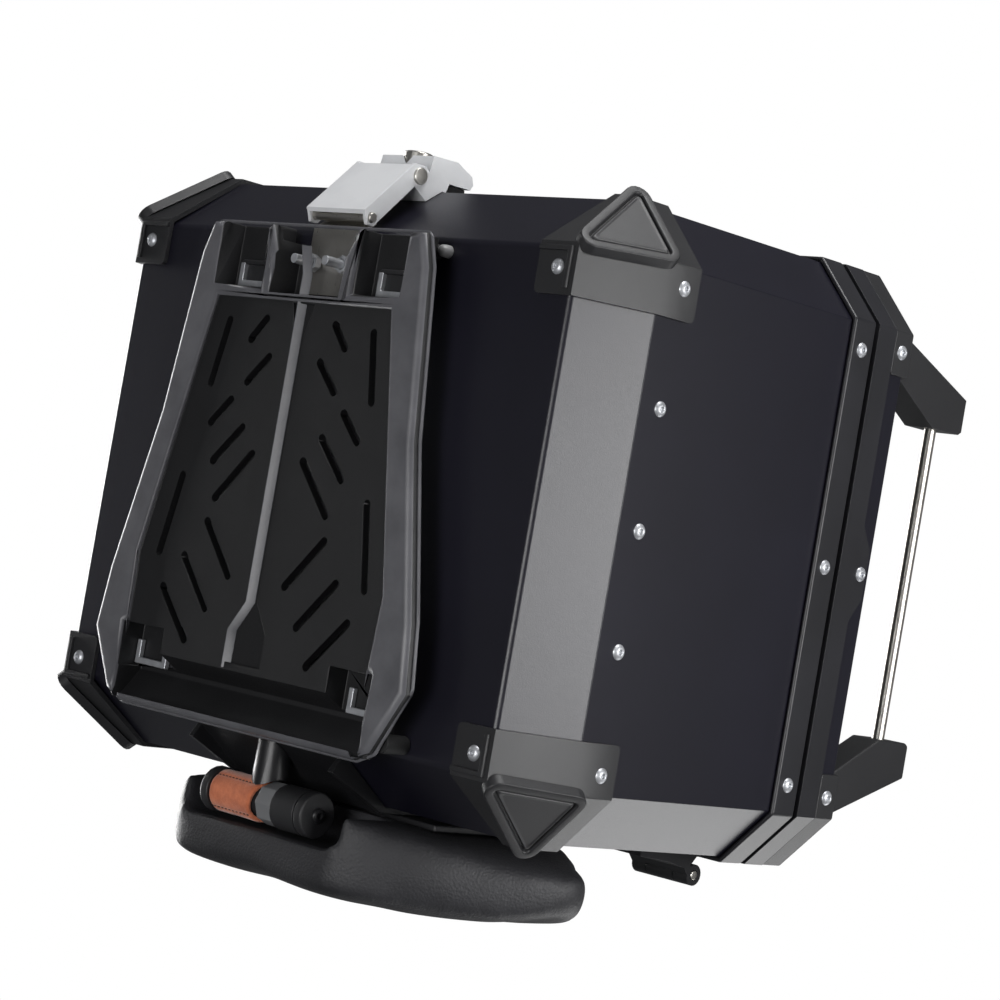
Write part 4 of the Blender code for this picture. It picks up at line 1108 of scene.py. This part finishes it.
@dataclass
class Pad:
    """The backrest's foam, rounded by its mould and swollen under its skin."""

    inset: float = 2.5 * MM
    voxel: float = 4.5 * MM
    rounding: int = 9
    notch_half: float = 74 * MM
    notch_top: float = 56 * MM
    notch_deep: float = 27 * MM
    pressure: float = 4.0
    frames: int = 20
    most_move: float = 6.0 * MM
    settling: int = 5
    held: float = 7.0 * MM
    groove_from: float = 15.0 * MM
    groove_deep: float = 2.2 * MM
    groove_half: float = 26.0 * MM
    proud: float = 2.0 * MM

    def build(self, frame: dict, dressing: Dressing) -> None:
        """Makes the shape, swells it, keeps it in its box and dresses it.

        Args:
            frame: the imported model.
            dressing: the finished materials.
        """
        low, high = corners_of("backrest_pad")
        body = self.rounded(frame, low, high)
        rest = [v.co.copy() for v in body.data.vertices]
        self.swell(body, low)
        shown = self.settled(body, rest, low, high)
        bpy.data.objects.remove(body)
        made = dressing.piece("backrest_pad_shown", shown, FOAM, Body.CASE)
        smooth = made.modifiers.new("finer", "SUBSURF")
        smooth.levels = smooth.render_levels = 1
        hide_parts("backrest_pad")

    def rounded(self, frame: dict, low: Vector, high: Vector) -> bpy.types.Object:
        """Makes the node's shape a little smaller, in even squares and with its edges worn round.

        Args:
            frame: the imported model.
            low: the foam's lowest corner.
            high: its highest corner.

        Returns:
            An object with the shape.
        """
        mesh = merged_copy("backrest_pad", frame)
        middle = (low + high) / 2
        size = high - low
        scale = Matrix.Diagonal((*((size[i] - 2 * self.inset) / size[i] for i in range(3)), 1))
        place = Matrix.Translation(middle) @ scale @ Matrix.Translation(-middle)
        bmesh.ops.transform(mesh, matrix=place, verts=mesh.verts)
        data = bpy.data.meshes.new("pad_shape")
        mesh.to_mesh(data)
        mesh.free()
        body = bpy.data.objects.new("pad_shape", data)
        bpy.context.scene.collection.objects.link(body)
        even = body.modifiers.new("even", "REMESH")
        even.mode = "VOXEL"
        even.voxel_size = self.voxel
        graph = bpy.context.evaluated_depsgraph_get()
        squares = bpy.data.meshes.new_from_object(body.evaluated_get(graph))
        body.modifiers.clear()
        body.data = squares
        work = bmesh.new()
        work.from_mesh(squares)
        back = low.y + self.inset + 1.5 * MM
        free = [v for v in work.verts if not self.in_notch(v.co, low)]
        for _ in range(self.rounding):
            smooth(work, free)
            for vert in work.verts:
                if vert.co.y < back:
                    vert.co.y = max(vert.co.y, low.y + self.inset * 0.5)
        work.to_mesh(squares)
        work.free()
        return body

    def swell(self, body: bpy.types.Object, low: Vector) -> None:
        """Blows the skin up from inside while its back stays on the board.

        Args:
            body: the object with the shape, which is swollen.
            low: the foam's lowest corner.
        """
        pinned = body.vertex_groups.new(name="back")
        held = [
            v.index for v in body.data.vertices
            if v.co.y < low.y + self.held or self.in_notch(v.co, low)
        ]
        pinned.add(held, 1.0, "REPLACE")
        cloth = body.modifiers.new("skin", "CLOTH")
        settings = {
            "quality": 6, "mass": 0.3, "tension_stiffness": 18, "compression_stiffness": 18,
            "shear_stiffness": 8, "bending_stiffness": 12, "use_pressure": True,
            "uniform_pressure_force": self.pressure, "vertex_group_mass": pinned.name,
        }  # fmt: skip
        for name, value in settings.items():
            setattr(cloth.settings, name, value)
        cloth.settings.effector_weights.gravity = 0
        cloth.collision_settings.use_self_collision = False
        cloth.point_cache.frame_start = 1
        cloth.point_cache.frame_end = self.frames
        for number in range(1, self.frames + 1):
            bpy.context.scene.frame_set(number)
        graph = bpy.context.evaluated_depsgraph_get()
        swollen = bpy.data.meshes.new_from_object(body.evaluated_get(graph))
        body.modifiers.clear()
        body.data = swollen
        bpy.context.scene.frame_set(1)

    def settled(
        self, body: bpy.types.Object, rest: list[Vector], low: Vector, high: Vector
    ) -> bmesh.types.BMesh:
        """Limits the movement, presses the shallow groove and keeps the foam near its box.

        Args:
            body: the swollen object.
            rest: where its points were before.
            low: the foam's lowest corner.
            high: its highest corner.

        Returns:
            The final shape.
        """
        mesh = bmesh.new()
        mesh.from_mesh(body.data)
        mesh.verts.ensure_lookup_table()
        lowest = Vector((low.x - self.proud, low.y, low.z - self.proud))
        highest = high + Vector((self.proud, self.proud, self.proud))
        crown = low.y + self.groove_from
        for vert, start in zip(mesh.verts, rest):
            move = vert.co - start
            if move.length > self.most_move:
                vert.co = start + move.normalized() * self.most_move
            outer = max(0.0, (vert.co.y - crown) / (high.y - crown))
            vert.co.y -= self.groove_deep * outer * math.exp(-((vert.co.x / self.groove_half) ** 2))
            vert.co = [min(max(place, least), most) for place, least, most in zip(vert.co, lowest, highest)]
        free = [v for v in mesh.verts if not self.in_notch(v.co, low)]
        for _ in range(self.settling):
            smooth(mesh, free)
        bmesh.ops.recalc_face_normals(mesh, faces=mesh.faces)
        return mesh

    def in_notch(self, place: Vector, low: Vector) -> bool:
        """Tells whether a point belongs to the crisp notch that the grip lies in."""
        deep, rise = place.y - low.y, place.z - low.z
        return abs(place.x) < self.notch_half and deep < self.notch_deep and rise < self.notch_top


# Each lamp: the direction it hangs in, its side in metres and its power in watts.
LAMPS = (
    ("right", (1.0, -0.02, 0.10), 0.75, 19),
    ("front_top", (0.10, 0.75, 0.66), 0.8, 7),
    ("below", (0.30, 0.10, -0.95), 0.6, 11),
    ("left", (-0.97, 0.05, 0.10), 1.0, 34),
    ("rear", (0.25, -0.94, -0.05), 0.8, 20),
)


@dataclass
class Studio:
    """White surroundings, a pale floor, broad soft lights and the camera."""

    floor_half: float = 6.5
    floor_z: float = -1.7
    ambient: float = 0.10
    room: tuple[float, float, float, float] = (0.95, 0.97, 1, 1)
    floor_glow: float = 0.75
    shell: float = 7.0
    aim: float = 0.18
    lamp_distance: float = 1.5
    lens: float = 98.78
    stand: tuple[float, float, float] = (1.2293, 0.01315, -1.0701)
    back: tuple[float, float, float] = (0.69643, 0.02223, -0.71728)
    right: tuple[float, float, float] = (0.70963, -0.17011, 0.68373)

    def build(self, case: Case) -> None:
        """Sets up the room, the floor, the lamps and the camera.

        Args:
            case: where the case stands.
        """
        scene = bpy.context.scene
        scene.view_settings.view_transform = "Standard"
        world = bpy.data.worlds.new("dim_room")
        world.use_nodes = True
        world.node_tree.nodes["Background"].inputs["Color"].default_value = self.room
        world.node_tree.nodes["Background"].inputs["Strength"].default_value = self.ambient
        scene.world = world
        self.surround()
        self.floor()
        centre = Vector((0, case.middle_y, self.aim))
        for name, direction, size, power in LAMPS:
            self.area(name, Vector(direction).normalized(), centre, size, power)
        self.camera()

    @staticmethod
    def staged(name: str, mesh: bmesh.types.BMesh, material: bpy.types.Material) -> bpy.types.Object:
        """Turns a bmesh into a part of the surroundings that lights nothing and isn't reflected.

        Args:
            name: the object's name.
            mesh: its shape, which is freed.
            material: its material.

        Returns:
            The new object.
        """
        data = bpy.data.meshes.new(name)
        mesh.to_mesh(data)
        mesh.free()
        data.materials.append(material)
        made = bpy.data.objects.new(name, data)
        made.visible_diffuse = made.visible_glossy = False
        bpy.context.scene.collection.objects.link(made)
        return made

    def floor(self) -> None:
        """Lays the pale floor far below."""
        disc = bmesh.new()
        bmesh.ops.create_circle(disc, cap_ends=True, segments=96, radius=self.floor_half)
        bmesh.ops.translate(disc, vec=UP * self.floor_z, verts=disc.verts)
        pale = FLOOR.build()
        shader = pale.node_tree.nodes["Principled BSDF"]
        shader.inputs["Emission Color"].default_value = (1, 1, 1, 1)
        shader.inputs["Emission Strength"].default_value = self.floor_glow
        self.staged("floor", disc, pale)

    def surround(self) -> None:
        """Hangs a white shell that only the camera sees, so the room's light stays the lamps'."""
        shell = bmesh.new()
        bmesh.ops.create_icosphere(shell, subdivisions=4, radius=self.shell)
        white = bpy.data.materials.new("white_surround")
        white.use_nodes = True
        tree = white.node_tree
        glow = add_node(tree, "ShaderNodeEmission", {"Color": (1, 1, 1, 1), "Strength": 1.0})
        tree.links.new(glow.outputs["Emission"], tree.nodes["Material Output"].inputs["Surface"])
        made = self.staged("surround", shell, white)
        made.visible_transmission = made.visible_shadow = False

    def area(self, name: str, direction: Vector, centre: Vector, size: float, power: float) -> None:
        """Hangs a square lamp that faces the centre and that the camera doesn't see.

        Args:
            name: the lamp's name.
            direction: the way from the centre to the lamp.
            centre: the point that it faces.
            size: its side.
            power: its power in watts.
        """
        data = bpy.data.lights.new(name, "AREA")
        data.size, data.energy = size, power
        lamp = bpy.data.objects.new(name, data)
        bpy.context.scene.collection.objects.link(lamp)
        lamp.matrix_world = Matrix.Translation(centre + direction * self.lamp_distance) @ towards(direction)
        lamp.visible_camera = False

    def camera(self) -> None:
        """Sets the camera below and to the right, rolled until the case lies on its back."""
        data = bpy.data.cameras.new("camera")
        data.lens, data.sensor_width = self.lens, 36.0
        camera = bpy.data.objects.new("camera", data)
        bpy.context.scene.collection.objects.link(camera)
        back = Vector(self.back).normalized()
        right = Vector(self.right)
        right = (right - back * right.dot(back)).normalized()
        up = back.cross(right)
        turn = Matrix((right, up, back)).transposed().to_4x4()
        camera.matrix_world = Matrix.Translation(self.stand) @ turn
        bpy.context.scene.camera = camera


@dataclass
class GripScrew:
    """The socket-headed screw in the grip's right end. Its profile is in millimetres."""

    steps: int = 28
    profile: tuple[tuple[float, float], ...] = (
        (0, 0.3), (1.9, 0.3), (2.1, 2.0), (3.4, 2.1), (4.2, 1.6), (4.5, 0.8), (4.5, -0.3), (0, -0.3),
    )  # fmt: skip

    def build(self, dressing: Dressing) -> None:
        """Spins the head and sets it on the end cap.

        Args:
            dressing: the finished materials.
        """
        low, high = corners_of("grip_end_right")
        mesh = turned([(radius * MM, height * MM) for radius, height in self.profile], self.steps)
        place = Matrix.Translation((high.x, (low.y + high.y) / 2, (low.z + high.z) / 2))
        bmesh.ops.transform(mesh, matrix=place @ towards(Vector((1, 0, 0))), verts=mesh.verts)
        dressing.piece("grip_screw", mesh, BRACKET, Body.CASE)


# The rivets of one side: how far out each sits, how far forward and how high, in millimetres.
RIVETS_CASE = (
    (210, -70, 68), (210, 0, 68), (210, 69, 68), (213.5, -134, 238), (213.5, 0, 238), (213.5, 134, 238),
    (213.3, -139, 67.5), (213.3, 139, 67.5), (180.6, -136.5, -3.3), (180.6, 136.5, -3.3),
)  # fmt: skip
RIVETS_LID = ((213.3, -139.5, 279), (213.3, 139.5, 279), (213.2, 0, 275))


def rivet_spots(case: Case, row: tuple[tuple[float, float, float], ...]) -> list[tuple[Vector, Vector]]:
    """Places a row's rivets on both sides of the case.

    Args:
        case: where the case stands.
        row: the rivets of one side.

    Returns:
        Each rivet's place and the way that it faces: down under the case, or else outwards.
    """
    return [(case.at(x * a, y, z), Vector((x, 0, 0)) if z > 0 else -UP) for x in SIDES for a, y, z in row]


def eased_nodes() -> list[Eased]:
    """Lists every stiff node that is shown with its edges rounded.

    Returns:
        A row for each node.
    """
    rows = [
        Eased("wall_shell", Body.CASE, POWDER, 0.5),
        Eased("body_rim", Body.CASE, RIM, 1.5, 3),
        Eased("lid_seal", Body.CASE, RUBBER, 0.6),
        Eased("lid_shell", Body.LID, POWDER, 0.6),
        Eased("lid_rim", Body.LID, RIM),
        Eased("strike", Body.CASE, STEEL, 0.5),
        Eased("latch_lever", Body.LEVER, SILVER, 0.5),
        Eased("latch_base", Body.CASE, SILVER),
        Eased("latch_rest", Body.CASE, RUBBER, 1.0),
        Eased("front_bracket", Body.CASE, BRACKET),
        Eased("grip_neck", Body.CASE, BRACKET),
        Eased("grip_core", Body.CASE, MOULDED, 0.4),
        Eased("grip_collar", Body.CASE, COLLAR),
        Eased("grip_sleeve", Body.CASE, MOULDED),
        Eased("backrest_board", Body.CASE, MOULDED, 1.0),
        Eased("lid_lock_housing", Body.LID, SILVER, 1.0),
        Eased("lid_lock_cam", Body.LID_LOCK, STEEL, 0.5),
        Eased("lid_lock_keeper", Body.CASE, SILVER),
    ]
    for corner in ("rear_left", "rear_right", "front_left", "front_right"):
        rows += [
            Eased(f"guard_{corner}", Body.CASE, MOULDED, 0.7, corner_mm=3.5),
            Eased(f"lid_cap_{corner}", Body.LID, MOULDED, 0.7, corner_mm=2.5),
            Eased(f"rail_bracket_{corner}", Body.LID, MOULDED, 1.2),
            Eased(f"catch_{corner}", Body.CASE, ZINC, 0.6),
            Eased(f"standoff_{corner}", Body.CASE, RUBBER, 0.6),
        ]
    for side in ("left", "right"):
        rows += [
            Eased(f"hinge_body_{side}", Body.CASE, BRACKET, 0.5),
            Eased(f"hinge_lid_{side}", Body.LID, BRACKET, 0.5),
            Eased(f"strike_bolt_{side}", Body.CASE, ZINC, 0.3),
            Eased(f"strike_nut_{side}", Body.CASE, ZINC, 0.4),
            Eased(f"grip_end_{side}", Body.CASE, MOULDED, 1.2),
        ]
    return rows


def round_nodes() -> list[Round]:
    """Lists every bar and pin.

    Returns:
        A row for each node.
    """
    rows = [Round("latch_pivot_pin", Body.LEVER, 0), Round("latch_hook_pin", Body.LEVER, 0)]
    for side in ("left", "right"):
        rows += [Round(f"rail_bar_{side}", Body.LID, 1), Round(f"hinge_pin_{side}", Body.CASE, 0)]
    return rows


def main() -> None:
    """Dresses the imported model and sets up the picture."""
    logging.basicConfig(level=logging.INFO, format="%(name)s: %(message)s")
    for thing in list(bpy.data.objects):
        bpy.data.objects.remove(thing)
    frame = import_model()
    case = Case.measure()
    dressing = Dressing()
    TrayShown().build(frame, dressing, case)
    PlateShown().build(frame, dressing)
    for node in eased_nodes():
        node.build(frame, dressing)
    for bar in round_nodes():
        bar.build(dressing)
    LockFace("latch_lock_cylinder", Body.LATCH_LOCK).build(dressing)
    LockFace("lid_lock_cylinder", Body.LID_LOCK).build(dressing)
    Rivets().build("rivets_case", rivet_spots(case, RIVETS_CASE), Body.CASE, dressing)
    Rivets().build("rivets_lid", rivet_spots(case, RIVETS_LID), Body.LID, dressing)
    Badges().build(case, dressing)
    PlateBead().build(case, dressing)
    Sockets().build(case, dressing)
    ChannelWall().build(case, dressing)
    Ledges().build(case, dressing)
    Stops().build("stops_rear", 90, -141, STOPPER, case, dressing)
    Stops().build("stops_front", 122, 143, RUBBER, case, dressing)
    Wrap().build(dressing)
    GripScrew().build(dressing)
    Pad().build(frame, dressing)
    Studio().build(case)


if __name__ == "__main__":
    main()
